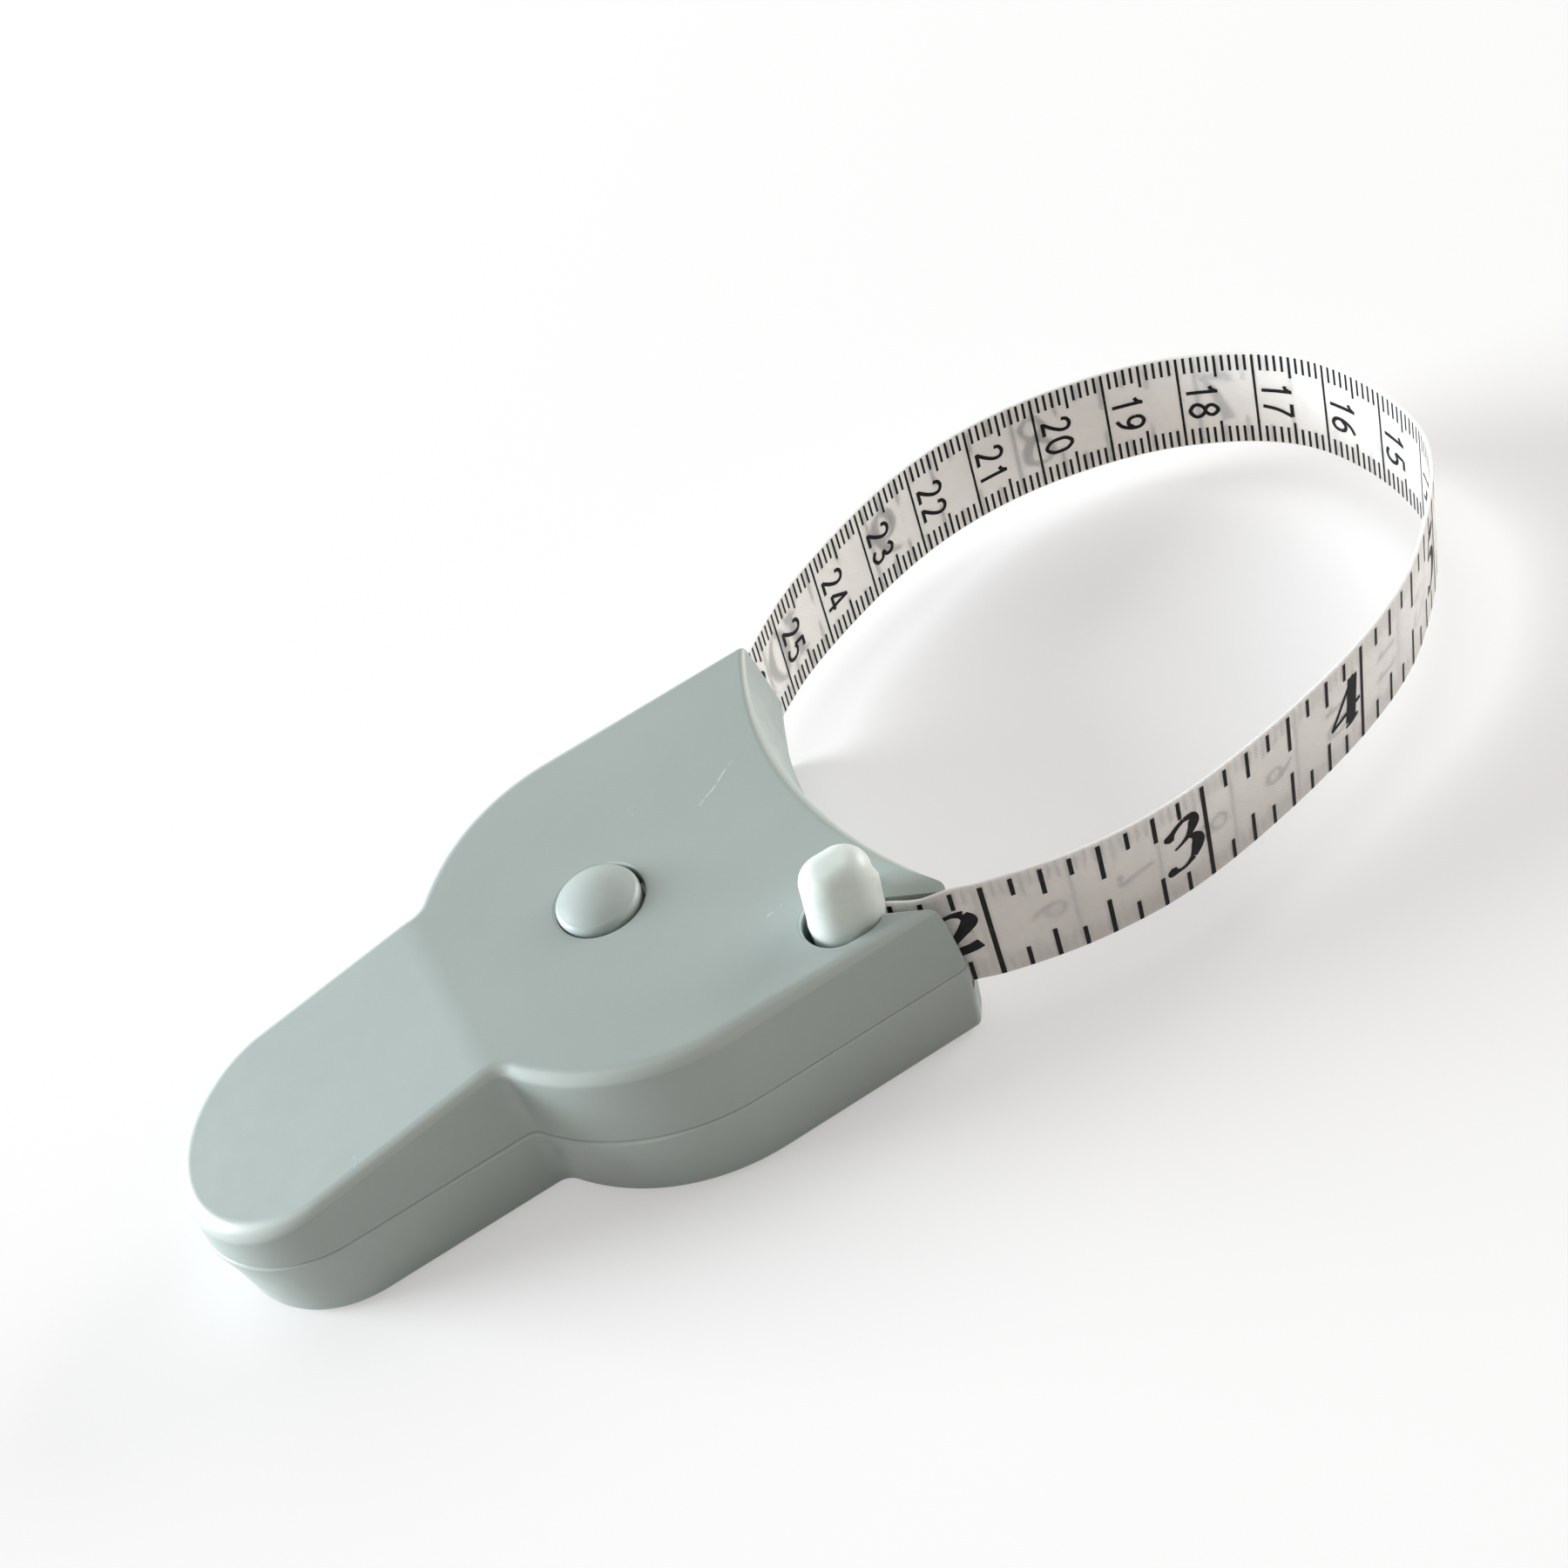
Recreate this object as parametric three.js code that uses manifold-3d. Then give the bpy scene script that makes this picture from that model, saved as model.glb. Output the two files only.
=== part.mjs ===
// A push-button body tape measure: a two-part case, a spring reel, a free loop of tape and its end peg.
// Millimetres, +Z up. The origin is on the underside, below the reel's axis. +X runs from handle to fork.
import * as THREE from "three";
import { mergeVertices } from "three/addons/utils/BufferGeometryUtils.js";
import Module from "manifold-3d";

const wasm = await Module();
wasm.setup();

// Tape
const TAPE_WIDTH = 14.7;
const TAPE_THICKNESS = 0.4;
const TAPE_JOINT = 0.3; // gap where one stretch of tape meets the next

// Case, seen from above
const BODY_RADIUS = 25.65;
const BODY_CENTRE = 3.8; // ahead of the reel's axis
const HANDLE_HALF_WIDTH = 13.5;
const HANDLE_REACH = 53.8; // from the reel's axis to the handle's end
const NECK_FILLET = 2.5;
const FORK_RADIUS = 54.6;
const FORK_DEPTH = 25.2; // from the reel's axis to the fork's deepest point
const LEFT_TIP_RADIUS = 0.5;
const RIGHT_TIP_RADIUS = 1;
const LEAST_RADIUS = 0.3;

// Case, seen from the side
const FLOOR = 1.7; // also the ceiling's thickness
const WALL = 1.8;
const DRAFT = 0.5; // the walls stand this much further out at the parting line
const EDGE_RADIUS = 1.6;
const HANDLE_FALL = 6; // drop of the handle's top at its end
const PARTING_GAP = 0.2;
const LIP_THICKNESS = 0.8;
const LIP_HEIGHT = 1;
const LIP_CLEARANCE = 0.25;

// Reel
const HUB_WALL = 2;
const CHAMBER_RADIUS = 9.2;
const FLANGE = 0.7;
const FLANGE_RIM = 2.5; // what the flanges stand out past the wound tape
const WEB = 2; // thickness of the drum's top web, whose underside is the brake seat
const SPIGOT_WALL = 1;
const SPIGOT_HEIGHT = 1.6;
const RUNNING_GAP = 0.4;
const SIDE_GAP = 0.5;
const FIT = 0.3; // clearance of a turning or sliding fit
const PRESS_GAP = 0.2; // clearance of a pressed-in piece

// Mainspring and its arbor
const SPRING_THICKNESS = 0.25;
const SPRING_PITCH = 0.74;
const SPRING_HOOK_RADIUS = 0.5;
const SPRING_TAIL = 0.8; // how far its outer end goes into the drum's wall
const SPRING_NOTCH = 1.9;
const ARBOR_RADIUS = 2.4;
const ARBOR_SLOT = 0.9;
const ARBOR_CAP = 1.2;
const ARBOR_BOSS_WALL = 1.5;

// Button, its guide tube, brake ring and spring
const BUTTON_RADIUS = 4.85;
const BUTTON_RIM = 0.8; // height of the button's rim over the case
const BUTTON_CROWN = 1.2; // rise of its dome over the rim
const BUTTON_TRAVEL = 1.8;
const BUTTON_RECESS = 3;
const BUTTON_SKIN = 2.6;
const TUBE_WALL = 1.25;
const KEY_WIDTH = 1.8;
const KEY_DEPTH = 0.6;
const BRAKE_FLANGE = 0.9;
const RING_WIDTH = 1.4;
const RING_CLEARANCE = 0.7; // from the ring to the drum's wall
const RING_HEIGHT = 0.7;
const COIL_RADIUS = 2.2;
const COIL_WIRE = 0.5;
const COIL_TURNS = 5;

// Peg, its socket and the slit
const PEG_HALF_LENGTH = 4.2;
const PEG_HALF_WIDTH = 3.35;
const PEG_TAPER = 0.35; // how much narrower it is at the top, each side
const PEG_RISE = 7.7; // over the case
const PEG_ROUND = 2.6;
const PEG_SIDE_WALL = 2.35;
const PEG_FORK_WALL = 4.5;
const FIN_LENGTH = 1.2;
const FIN_THICKNESS = 1.7;
const FIN_RISE = 4.2;
const SLIT_ANGLE = THREE.MathUtils.degToRad(34);
const SLIT_WIDTH = 2.4;
const SLIT_LENGTH = 5.65;
const SLIT_OFFSET = 1.6; // from the peg's middle towards the case's side
const SLIT_WALL = 2;
const SCOOP_DEPTH = 1; // of the inner prong's slope, at the slit
const SCOOP_ANGLE = THREE.MathUtils.degToRad(22);
const TAPE_TOP_DEPTH = 0.35; // top of the tape in the slit, below the case's top
const SLIT_FLOOR_GAP = 0.4;
const PEG_PIN_RADIUS = 0.6;
const PEG_PIN_BACK = 4; // from the slit's start back into the peg

// Small hardware
const SCREW_RADIUS = 0.85;
const SCREW_HEAD_RADIUS = 2;
const SCREW_HEAD_HEIGHT = 1.35;
const SCREW_SEAT = 2.2; // height of the head's seat over the underside
const SCREW_BITE = 4; // into the upper boss
const SCREW_BOSS_WALL = 0.9;
const SCREW_HANDLE_INSET = 10.2; // from the handle's end
const SCREW_SIDE_INSET = 2.7; // from the body's side
const SCREW_SIDE_AHEAD = 6;
const GUIDE_PIN_RADIUS = 1;
const ANCHOR_RADIUS = 0.6;

// Free loop of tape, seen from above, from the right horn round to the left
const LOOP_ROUTE = [
  [41.5, -28.5],
  [61.5, -28.9],
  [81, -24.6],
  [98.8, -15.7],
  [111.4, -0.5],
  [113.5, 19],
  [102.8, 35.4],
  [84.6, 43.4],
  [64.7, 43.8],
  [45.8, 37.4],
];
const LOOP_STEPS = 64;

const ROUND_SIDES = 48;
const SMALL_SIDES = 20;
const OVERCUT = 1; // how far a cutter passes the face it opens
const ORIGIN = new THREE.Vector2(0, 0);
const ACROSS = new THREE.Vector2(1, 0);

// Heights of the stack
const reelBottom = FLOOR + RUNNING_GAP;
const tapeBottom = reelBottom + FLANGE + SIDE_GAP;
const tapeTop = tapeBottom + TAPE_WIDTH;
const reelTop = tapeTop + SIDE_GAP + FLANGE;
const ceiling = reelTop + RUNNING_GAP;
const caseHeight = ceiling + FLOOR;
const parting = caseHeight / 2;
const webBottom = reelTop - WEB;
const tubeBottom = webBottom + PRESS_GAP;
const ringTop = webBottom - PRESS_GAP;
const ringBottom = ringTop - RING_HEIGHT;
const brakeTop = ringBottom - PRESS_GAP;
const brakeBottom = brakeTop - BRAKE_FLANGE;
const arborTop = brakeBottom - BUTTON_TRAVEL - 2 * FIT;
const coverTop = reelBottom + FLANGE;
const spigotTop = coverTop + SPIGOT_HEIGHT;
const springBottom = spigotTop + FIT;
const springTop = arborTop - ARBOR_CAP;

// Radii about the reel's axis
const reelRadius = BODY_RADIUS - WALL - BODY_CENTRE - RUNNING_GAP;
const hubRadius = CHAMBER_RADIUS + HUB_WALL;
const rollInner = hubRadius + FIT;
const rollOuter = reelRadius - FLANGE_RIM;
const tapeWound = (Math.PI * (rollOuter ** 2 - rollInner ** 2)) / TAPE_THICKNESS;
const tubeInner = BUTTON_RADIUS + FIT;
const tubeOuter = tubeInner + TUBE_WALL;
const webHole = tubeOuter + FIT;
const ringOuter = CHAMBER_RADIUS - RING_CLEARANCE;
const ringInner = ringOuter - RING_WIDTH;
const arborBoss = ARBOR_RADIUS + PRESS_GAP + ARBOR_BOSS_WALL;

// Places in plan
const forkCentre = FORK_DEPTH + FORK_RADIUS;
const neckY = HANDLE_HALF_WIDTH + NECK_FILLET;
const neckX = BODY_CENTRE - Math.sqrt((BODY_RADIUS + NECK_FILLET) ** 2 - neckY ** 2);
const pegY = -(BODY_RADIUS - PEG_SIDE_WALL - PEG_HALF_WIDTH);
const pegX = forkCentre - Math.sqrt(FORK_RADIUS ** 2 - pegY ** 2) - PEG_FORK_WALL - PEG_HALF_LENGTH;
const slitStart = new THREE.Vector2(pegX + PEG_HALF_LENGTH, pegY - SLIT_OFFSET);
const slitRun = new THREE.Vector2(Math.cos(SLIT_ANGLE), -Math.sin(SLIT_ANGLE));
const hornEnd = slitStart.dot(slitRun) + SLIT_LENGTH;
const mouthStart = new THREE.Vector2(slitStart.x, -slitStart.y);
const mouthRun = new THREE.Vector2(slitRun.x, -slitRun.y);
const tapeMid = (tapeBottom + tapeTop) / 2;
const slitTapeMid = caseHeight - TAPE_TOP_DEPTH - TAPE_WIDTH / 2;
const slitFloor = slitTapeMid - TAPE_WIDTH / 2 - SLIT_FLOOR_GAP;
const pegBottom = slitFloor + FIT;
const pegTop = caseHeight + PEG_RISE;
const screwBoss = SCREW_HEAD_RADIUS + FIT + SCREW_BOSS_WALL;
const screwTip = parting + SCREW_BITE;
const screwPlaces = {
  handle: [-HANDLE_REACH + SCREW_HANDLE_INSET, 0],
  left: [SCREW_SIDE_AHEAD, BODY_RADIUS - SCREW_SIDE_INSET],
  right: [SCREW_SIDE_AHEAD, -BODY_RADIUS + SCREW_SIDE_INSET],
};

// A closed geometry as a solid for joining and cutting, turned to face out
function solid(geometry) {
  const loose = geometry.index ? geometry.toNonIndexed() : geometry;
  const bare = new THREE.BufferGeometry();
  bare.setAttribute("position", loose.getAttribute("position"));
  const merged = mergeVertices(bare, 1e-4);
  const corners = Array.from(merged.index.array);
  const build = (triVerts) =>
    new wasm.Manifold(
      new wasm.Mesh({
        numProp: 3,
        vertProperties: merged.attributes.position.array,
        triVerts: new Uint32Array(triVerts),
      }),
    );
  const made = build(corners);
  return made.volume() > 0 ? made : build(corners.reverse());
}

function geometryOf(shape) {
  const mesh = shape.getMesh();
  const geometry = new THREE.BufferGeometry();
  geometry.setAttribute("position", new THREE.BufferAttribute(new Float32Array(mesh.vertProperties), 3));
  geometry.setIndex(new THREE.BufferAttribute(new Uint32Array(mesh.triVerts), 1));
  const flat = geometry.toNonIndexed();
  flat.computeVertexNormals();
  return flat;
}

// Upright cylinder from bottom to top
function post(radius, bottom, top, [x, y] = [0, 0], sides = SMALL_SIDES) {
  const geometry = new THREE.CylinderGeometry(radius, radius, top - bottom, sides);
  return solid(geometry.rotateX(Math.PI / 2).translate(x, y, (bottom + top) / 2));
}

// Upright bar of some width that runs from a point in plan along a direction
function bar(start, run, from, to, width, bottom, top) {
  const geometry = new THREE.BoxGeometry(to - from, width, top - bottom);
  geometry.translate((from + to) / 2, 0, (bottom + top) / 2);
  return solid(geometry.rotateZ(run.angle()).translate(start.x, start.y, 0));
}

// Piece turned about the reel's axis, or an upright axis elsewhere, from [radius, height] pairs
function turned(profile, [x, y] = [0, 0], sides = ROUND_SIDES) {
  const points = profile.map(([radius, height]) => new THREE.Vector2(radius, height));
  return solid(new THREE.LatheGeometry(points, sides).rotateX(Math.PI / 2).translate(x, y, 0));
}

// Ring turned from a profile that closes on itself
function turnedRing(profile) {
  return turned([...profile, profile[0]]);
}

// Closed skin over rings of points, which run anticlockwise and are stacked upwards.
// Each cap is given as loops of indices, so that a cap may fold along a line.
function loft(rings, loops) {
  const count = rings[0].length;
  const positions = rings.flat().flatMap((p) => [p.x, p.y, p.z]);
  const faces = [];
  rings.slice(1).forEach((ring, level) => {
    for (let i = 0; i < count; i += 1) {
      const a = level * count + i;
      const b = level * count + ((i + 1) % count);
      faces.push(a, b, b + count, a, b + count, a + count);
    }
  });
  const last = (rings.length - 1) * count;
  for (const loop of loops) {
    const contour = loop.map((i) => new THREE.Vector2(rings[0][i].x, rings[0][i].y));
    for (const [a, b, c] of THREE.ShapeUtils.triangulateShape(contour, [])) {
      faces.push(loop[a], loop[c], loop[b]);
      faces.push(last + loop[a], last + loop[b], last + loop[c]);
    }
  }
  const geometry = new THREE.BufferGeometry();
  geometry.setAttribute("position", new THREE.Float32BufferAttribute(positions, 3));
  geometry.setIndex(faces);
  return solid(geometry);
}

// Points of an arc in plan, from one angle to another
function arc(x, y, radius, from, to, steps, skipFirst = false) {
  const points = [];
  for (let i = skipFirst ? 1 : 0; i <= steps; i += 1) {
    const angle = from + ((to - from) * i) / steps;
    points.push(new THREE.Vector2(x + radius * Math.cos(angle), y + radius * Math.sin(angle)));
  }
  return points;
}

// Outline of the case, grown outwards: handle end, right side, right horn, fork, left horn, left side.
function caseOutline(grow) {
  const quarter = Math.PI / 2;
  const body = BODY_RADIUS + grow;
  const handle = HANDLE_HALF_WIDTH + grow;
  const fork = FORK_RADIUS - grow;
  const fillet = Math.max(NECK_FILLET - grow, LEAST_RADIUS);
  const neckAngle = Math.atan2(neckY, BODY_CENTRE - neckX);
  const handleCentre = HANDLE_HALF_WIDTH - HANDLE_REACH;
  const tip = Math.max(RIGHT_TIP_RADIUS + grow, LEAST_RADIUS);
  const outerY = tip - body;
  const outerX = (hornEnd + grow - tip - outerY * slitRun.y) / slitRun.x;
  const across = new THREE.Vector2(-slitRun.y, slitRun.x);
  const foot = slitRun.clone().multiplyScalar(hornEnd + grow - tip);
  const toFork = foot.clone().sub(new THREE.Vector2(forkCentre, 0));
  const aside = toFork.dot(across);
  const slide = -aside - Math.sqrt(aside ** 2 - toFork.lengthSq() + (fork + tip) ** 2);
  const inner = foot.add(across.multiplyScalar(slide));
  const innerAngle = Math.atan2(-inner.y, forkCentre - inner.x);
  const left = Math.max(LEFT_TIP_RADIUS + grow, LEAST_RADIUS);
  const leftY = body - left;
  const leftX = forkCentre - Math.sqrt((fork + left) ** 2 - leftY ** 2);
  const leftAngle = Math.atan2(-leftY, forkCentre - leftX);
  return [
    ...arc(handleCentre, 0, handle, quarter, 3 * quarter, 16),
    ...arc(neckX, -neckY, fillet, quarter, neckAngle, 4),
    ...arc(BODY_CENTRE, 0, body, Math.PI + neckAngle, 3 * quarter, 10, true),
    ...arc(outerX, outerY, tip, -quarter, -SLIT_ANGLE, 4),
    ...arc(inner.x, inner.y, tip, -SLIT_ANGLE, innerAngle, 4),
    ...arc(forkCentre, 0, fork, Math.PI + innerAngle, Math.PI + leftAngle, 16, true),
    ...arc(leftX, leftY, left, leftAngle, quarter, 4, true),
    ...arc(BODY_CENTRE, 0, body, quarter, Math.PI - neckAngle, 10),
    ...arc(neckX, neckY, fillet, -neckAngle, -quarter, 4, true),
  ];
}
const outlineCount = caseOutline(0).length;
const bodyLoop = Array.from({ length: outlineCount - 17 }, (_, i) => i + 17);
const handleLoop = [outlineCount - 1, ...Array.from({ length: 18 }, (_, i) => i)];
const caseCaps = [handleLoop, bodyLoop];

// Height of the case's top over a place: flat on the body, falling along the handle
function topAt(x) {
  const along = (neckX - x) / (neckX + HANDLE_REACH);
  return caseHeight - HANDLE_FALL * Math.max(0, along);
}

// Stack of grown outlines, each [height, growth]. In the upper half it is drawn down under the falling top.
function caseLoft(levels, depthBelowTop = null) {
  const reach = caseHeight - parting;
  const rings = levels.map(([height, grow]) =>
    caseOutline(grow).map((p) => {
      const fall = caseHeight - topAt(p.x);
      const share = depthBelowTop === null ? 0 : (height - parting) / (reach - depthBelowTop);
      return new THREE.Vector3(p.x, p.y, height - fall * Math.max(0, share));
    }),
  );
  return loft(rings, caseCaps);
}

// Growth of the drafted wall at a height
function draftAt(height) {
  return DRAFT * (1 - Math.abs(height - parting) / (caseHeight / 2));
}

// The wall's levels from the parting line to the rounded edge, for the top or, mirrored, for the bottom
function wallLevels() {
  const start = [parting + PARTING_GAP / 2, draftAt(parting + PARTING_GAP / 2)];
  const edge = caseHeight - EDGE_RADIUS;
  const rounded = [0, 1, 2, 3].map((step) => {
    const angle = (step * Math.PI) / 6;
    const height = edge + EDGE_RADIUS * Math.sin(angle);
    return [height, draftAt(edge) - EDGE_RADIUS * (1 - Math.cos(angle))];
  });
  return [start, ...rounded];
}

// Rounded oblong of the peg or its socket, grown outwards
function oblong(grow, height) {
  const straight = PEG_HALF_LENGTH - PEG_HALF_WIDTH;
  const radius = PEG_HALF_WIDTH + grow;
  const ends = [
    ...arc(pegX + straight, pegY, radius, -Math.PI / 2, Math.PI / 2, 10),
    ...arc(pegX - straight, pegY, radius, Math.PI / 2, 1.5 * Math.PI, 10),
  ];
  return ends.map((p) => new THREE.Vector3(p.x, p.y, height));
}
const oblongCap = [Array.from({ length: 22 }, (_, i) => i)];

function oblongPost(grow, bottom, top) {
  return loft([oblong(grow, bottom), oblong(grow, top)], oblongCap);
}

// Upright flat strip along a route of points at its middle height
function strip(route, width, thickness) {
  const corners = [];
  const faces = [];
  route.forEach((point, i) => {
    const before = route[Math.max(0, i - 1)];
    const after = route[Math.min(route.length - 1, i + 1)];
    const run = new THREE.Vector2(after.x - before.x, after.y - before.y).normalize();
    for (const [side, rise] of [[1, -1], [-1, -1], [-1, 1], [1, 1]]) {
      const shift = (side * thickness) / 2;
      corners.push(point.x - run.y * shift, point.y + run.x * shift, point.z + (rise * width) / 2);
    }
  });
  for (let i = 0; i + 1 < route.length; i += 1) {
    for (let k = 0; k < 4; k += 1) {
      const a = 4 * i + k;
      const b = 4 * i + ((k + 1) % 4);
      faces.push(a, b, b + 4, a, b + 4, a + 4);
    }
  }
  const end = 4 * (route.length - 1);
  faces.push(0, 2, 1, 0, 3, 2, end, end + 1, end + 2, end, end + 2, end + 3);
  const geometry = new THREE.BufferGeometry();
  geometry.setAttribute("position", new THREE.Float32BufferAttribute(corners, 3));
  geometry.setIndex(faces);
  return solid(geometry);
}

// Least distance between turns of a route, less its thickness
function selfGap(route, thickness, nearest) {
  let least = Infinity;
  route.forEach((a, i) => {
    for (let k = i + nearest; k < route.length; k += 1) least = Math.min(least, a.distanceTo(route[k]));
  });
  return least - thickness;
}

// What the two halves share: walls round the peg's socket and the slit, and the screw bosses
function innerWalls(envelope, bottom, top) {
  let walls = oblongPost(FIT + SLIT_WALL, bottom, top);
  const hornWidth = SLIT_WIDTH + 3 * SLIT_WALL;
  walls = walls.add(bar(slitStart, slitRun, -OVERCUT, SLIT_LENGTH, hornWidth, bottom, top));
  for (const place of Object.values(screwPlaces)) walls = walls.add(post(screwBoss, bottom, top, place));
  return walls.intersect(envelope);
}

// What is cut from both halves: socket, slit in the right horn, mouth in the left horn, guide pin seat
const guideTop = tapeTop + FIT + FLANGE;
const guidePlace = (() => {
  const beside = new THREE.Vector2(-mouthRun.y, mouthRun.x);
  const off = TAPE_THICKNESS / 2 + FIT + GUIDE_PIN_RADIUS;
  const place = mouthStart.clone().addScaledVector(beside, off).addScaledVector(mouthRun, -GUIDE_PIN_RADIUS);
  return [place.x, place.y];
})();
const sharedCuts = oblongPost(FIT, slitFloor, caseHeight + OVERCUT)
  .add(bar(slitStart, slitRun, -OVERCUT, 2 * SLIT_LENGTH, SLIT_WIDTH, slitFloor, caseHeight + OVERCUT))
  .add(bar(mouthStart, mouthRun, 0, 2 * SLIT_LENGTH, SLIT_WIDTH, tapeBottom - FIT, tapeTop + FIT));

// Slope of the right horn's inner prong, down to the slit
function prongSlope() {
  const size = 2 * SLIT_LENGTH;
  const geometry = new THREE.BoxGeometry(size, size, size).translate(size / 2, size / 2, size / 2);
  geometry.rotateX(SCOOP_ANGLE).rotateZ(slitRun.angle());
  const edge = slitStart.clone().addScaledVector(slitRun, FIN_LENGTH);
  edge.x -= (slitRun.y * SLIT_WIDTH) / 2;
  edge.y += (slitRun.x * SLIT_WIDTH) / 2;
  return solid(geometry.translate(edge.x, edge.y, caseHeight - SCOOP_DEPTH));
}

// Boss that holds one end of the guide pin
function guideBoss(envelope, bottom, top) {
  return post(GUIDE_PIN_RADIUS + FIT + SLIT_WALL, bottom, top, guidePlace).intersect(envelope);
}

function upperShell() {
  const envelope = caseLoft(wallLevels(), 0);
  const start = parting + PARTING_GAP / 2;
  const inside = DRAFT - WALL;
  const hollow = caseLoft([[start - OVERCUT, inside], [start, inside], [ceiling, -WALL]], FLOOR);
  let shell = envelope.subtract(hollow).add(innerWalls(envelope, start, caseHeight));
  shell = shell.add(guideBoss(envelope, tapeTop + FIT, caseHeight));

  // Guide tube of the button, with keyways
  shell = shell.add(post(tubeOuter, tubeBottom, ceiling + FLOOR / 2, [0, 0], ROUND_SIDES));
  shell = shell.subtract(post(tubeInner, tubeBottom - OVERCUT, caseHeight + OVERCUT, [0, 0], ROUND_SIDES));
  const keyway = BUTTON_RADIUS + KEY_DEPTH + FIT;
  shell = shell.subtract(
    bar(ORIGIN, ACROSS, -keyway, keyway, KEY_WIDTH + 2 * FIT, tubeBottom - OVERCUT, ceiling),
  );

  // Rebate for the lower half's lip
  const rebateTop = parting + LIP_HEIGHT + LIP_CLEARANCE;
  const outer = inside + LIP_THICKNESS + LIP_CLEARANCE;
  const inner = inside - LIP_CLEARANCE;
  const rebate = caseLoft([[start - OVERCUT, outer], [rebateTop, outer]]);
  const core = caseLoft([[start - 2 * OVERCUT, inner], [rebateTop + OVERCUT, inner]]);
  shell = shell.subtract(rebate.subtract(core));

  shell = shell.subtract(sharedCuts).subtract(prongSlope());
  for (const place of Object.values(screwPlaces)) {
    shell = shell.subtract(post(SCREW_RADIUS + PRESS_GAP, start - OVERCUT, screwTip + FIT, place));
  }
  return shell.subtract(post(GUIDE_PIN_RADIUS + PRESS_GAP, parting, guideTop + PRESS_GAP, guidePlace));
}

function lowerShell() {
  const end = parting - PARTING_GAP / 2;
  const inside = DRAFT - WALL;
  const levels = wallLevels().map(([height, grow]) => [caseHeight - height, grow]);
  const envelope = caseLoft(levels.reverse());
  const hollow = caseLoft([[FLOOR, -WALL], [end, inside], [end + OVERCUT, inside]]);
  let shell = envelope.subtract(hollow).add(innerWalls(envelope, 0, end));
  shell = shell.add(guideBoss(envelope, 0, tapeBottom - FIT));
  shell = shell.add(post(arborBoss, FLOOR / 2, coverTop + FIT, [0, 0], ROUND_SIDES));

  // Lip that stands in the upper half's rebate
  const outer = inside + LIP_THICKNESS;
  const lipTop = parting + LIP_HEIGHT;
  const lip = caseLoft([[end - OVERCUT, outer], [lipTop, outer]]);
  shell = shell.add(lip.subtract(caseLoft([[end - 2 * OVERCUT, inside], [lipTop + OVERCUT, inside]])));

  shell = shell.subtract(sharedCuts);
  const arborHole = ARBOR_RADIUS + PRESS_GAP;
  shell = shell.subtract(post(arborHole, FLOOR / 2, coverTop + FIT + OVERCUT, [0, 0], ROUND_SIDES));
  for (const place of Object.values(screwPlaces)) {
    shell = shell.subtract(post(SCREW_HEAD_RADIUS + FIT, -OVERCUT, SCREW_SEAT, place));
    shell = shell.subtract(post(SCREW_RADIUS + FIT, -OVERCUT, parting + OVERCUT, place));
  }
  return shell.subtract(post(GUIDE_PIN_RADIUS + PRESS_GAP, FLOOR, parting, guidePlace));
}

function caseScrew(place) {
  const headTop = SCREW_SEAT - PRESS_GAP;
  const headBottom = headTop - SCREW_HEAD_HEIGHT;
  return turned(
    [
      [0, headBottom],
      [SCREW_HEAD_RADIUS, headBottom],
      [SCREW_HEAD_RADIUS, headTop],
      [SCREW_RADIUS, headTop],
      [SCREW_RADIUS, screwTip - SCREW_RADIUS],
      [0, screwTip],
    ],
    place,
    SMALL_SIDES,
  );
}

// Route of the mainspring: a hook in the arbor's slot, a spiral outwards and a tail in the drum's notch
const springStart = ARBOR_RADIUS + SPRING_HOOK_RADIUS;
const springEnd = CHAMBER_RADIUS - FIT - SPRING_THICKNESS / 2;
const springTurns = (springEnd - springStart) / SPRING_PITCH;
const springFrom = Math.atan2(SPRING_HOOK_RADIUS, springStart);
const springTailAngle = springFrom + springTurns * 2 * Math.PI + SPRING_TAIL / CHAMBER_RADIUS;
const springRoute = (() => {
  const hook = arc(ARBOR_RADIUS, SPRING_HOOK_RADIUS, SPRING_HOOK_RADIUS, -Math.PI / 2, 0, 4);
  const steps = Math.ceil(24 * springTurns);
  const spiral = Array.from({ length: steps }, (_, i) => {
    const share = (i + 1) / steps;
    const angle = springFrom + share * springTurns * 2 * Math.PI;
    const first = Math.hypot(springStart, SPRING_HOOK_RADIUS);
    const radius = first + share * (springEnd - first);
    return new THREE.Vector2(radius * Math.cos(angle), radius * Math.sin(angle));
  });
  const middle = (springBottom + springTop) / 2;
  const tail = new THREE.Vector2(CHAMBER_RADIUS + SPRING_TAIL, 0).rotateAround(ORIGIN, springTailAngle);
  const plan = [new THREE.Vector2(ARBOR_RADIUS / 4, 0), ...hook, ...spiral, tail];
  return plan.map((p) => new THREE.Vector3(p.x, p.y, middle));
})();

function springArbor() {
  const shaft = turned([
    [0, FLOOR / 2 + PRESS_GAP],
    [ARBOR_RADIUS, FLOOR / 2 + PRESS_GAP],
    [ARBOR_RADIUS, arborTop],
    [COIL_RADIUS - COIL_WIRE / 2 - FIT, arborTop],
    [COIL_RADIUS - COIL_WIRE / 2 - FIT, arborTop + ARBOR_CAP],
    [0, arborTop + ARBOR_CAP],
  ]);
  const reach = 2 * ARBOR_RADIUS;
  return shaft.subtract(bar(ORIGIN, ACROSS, 0, reach, ARBOR_SLOT, springBottom - FIT, springTop + FIT));
}

const anchorPlace = [0, -(hubRadius - ANCHOR_RADIUS)];

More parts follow.
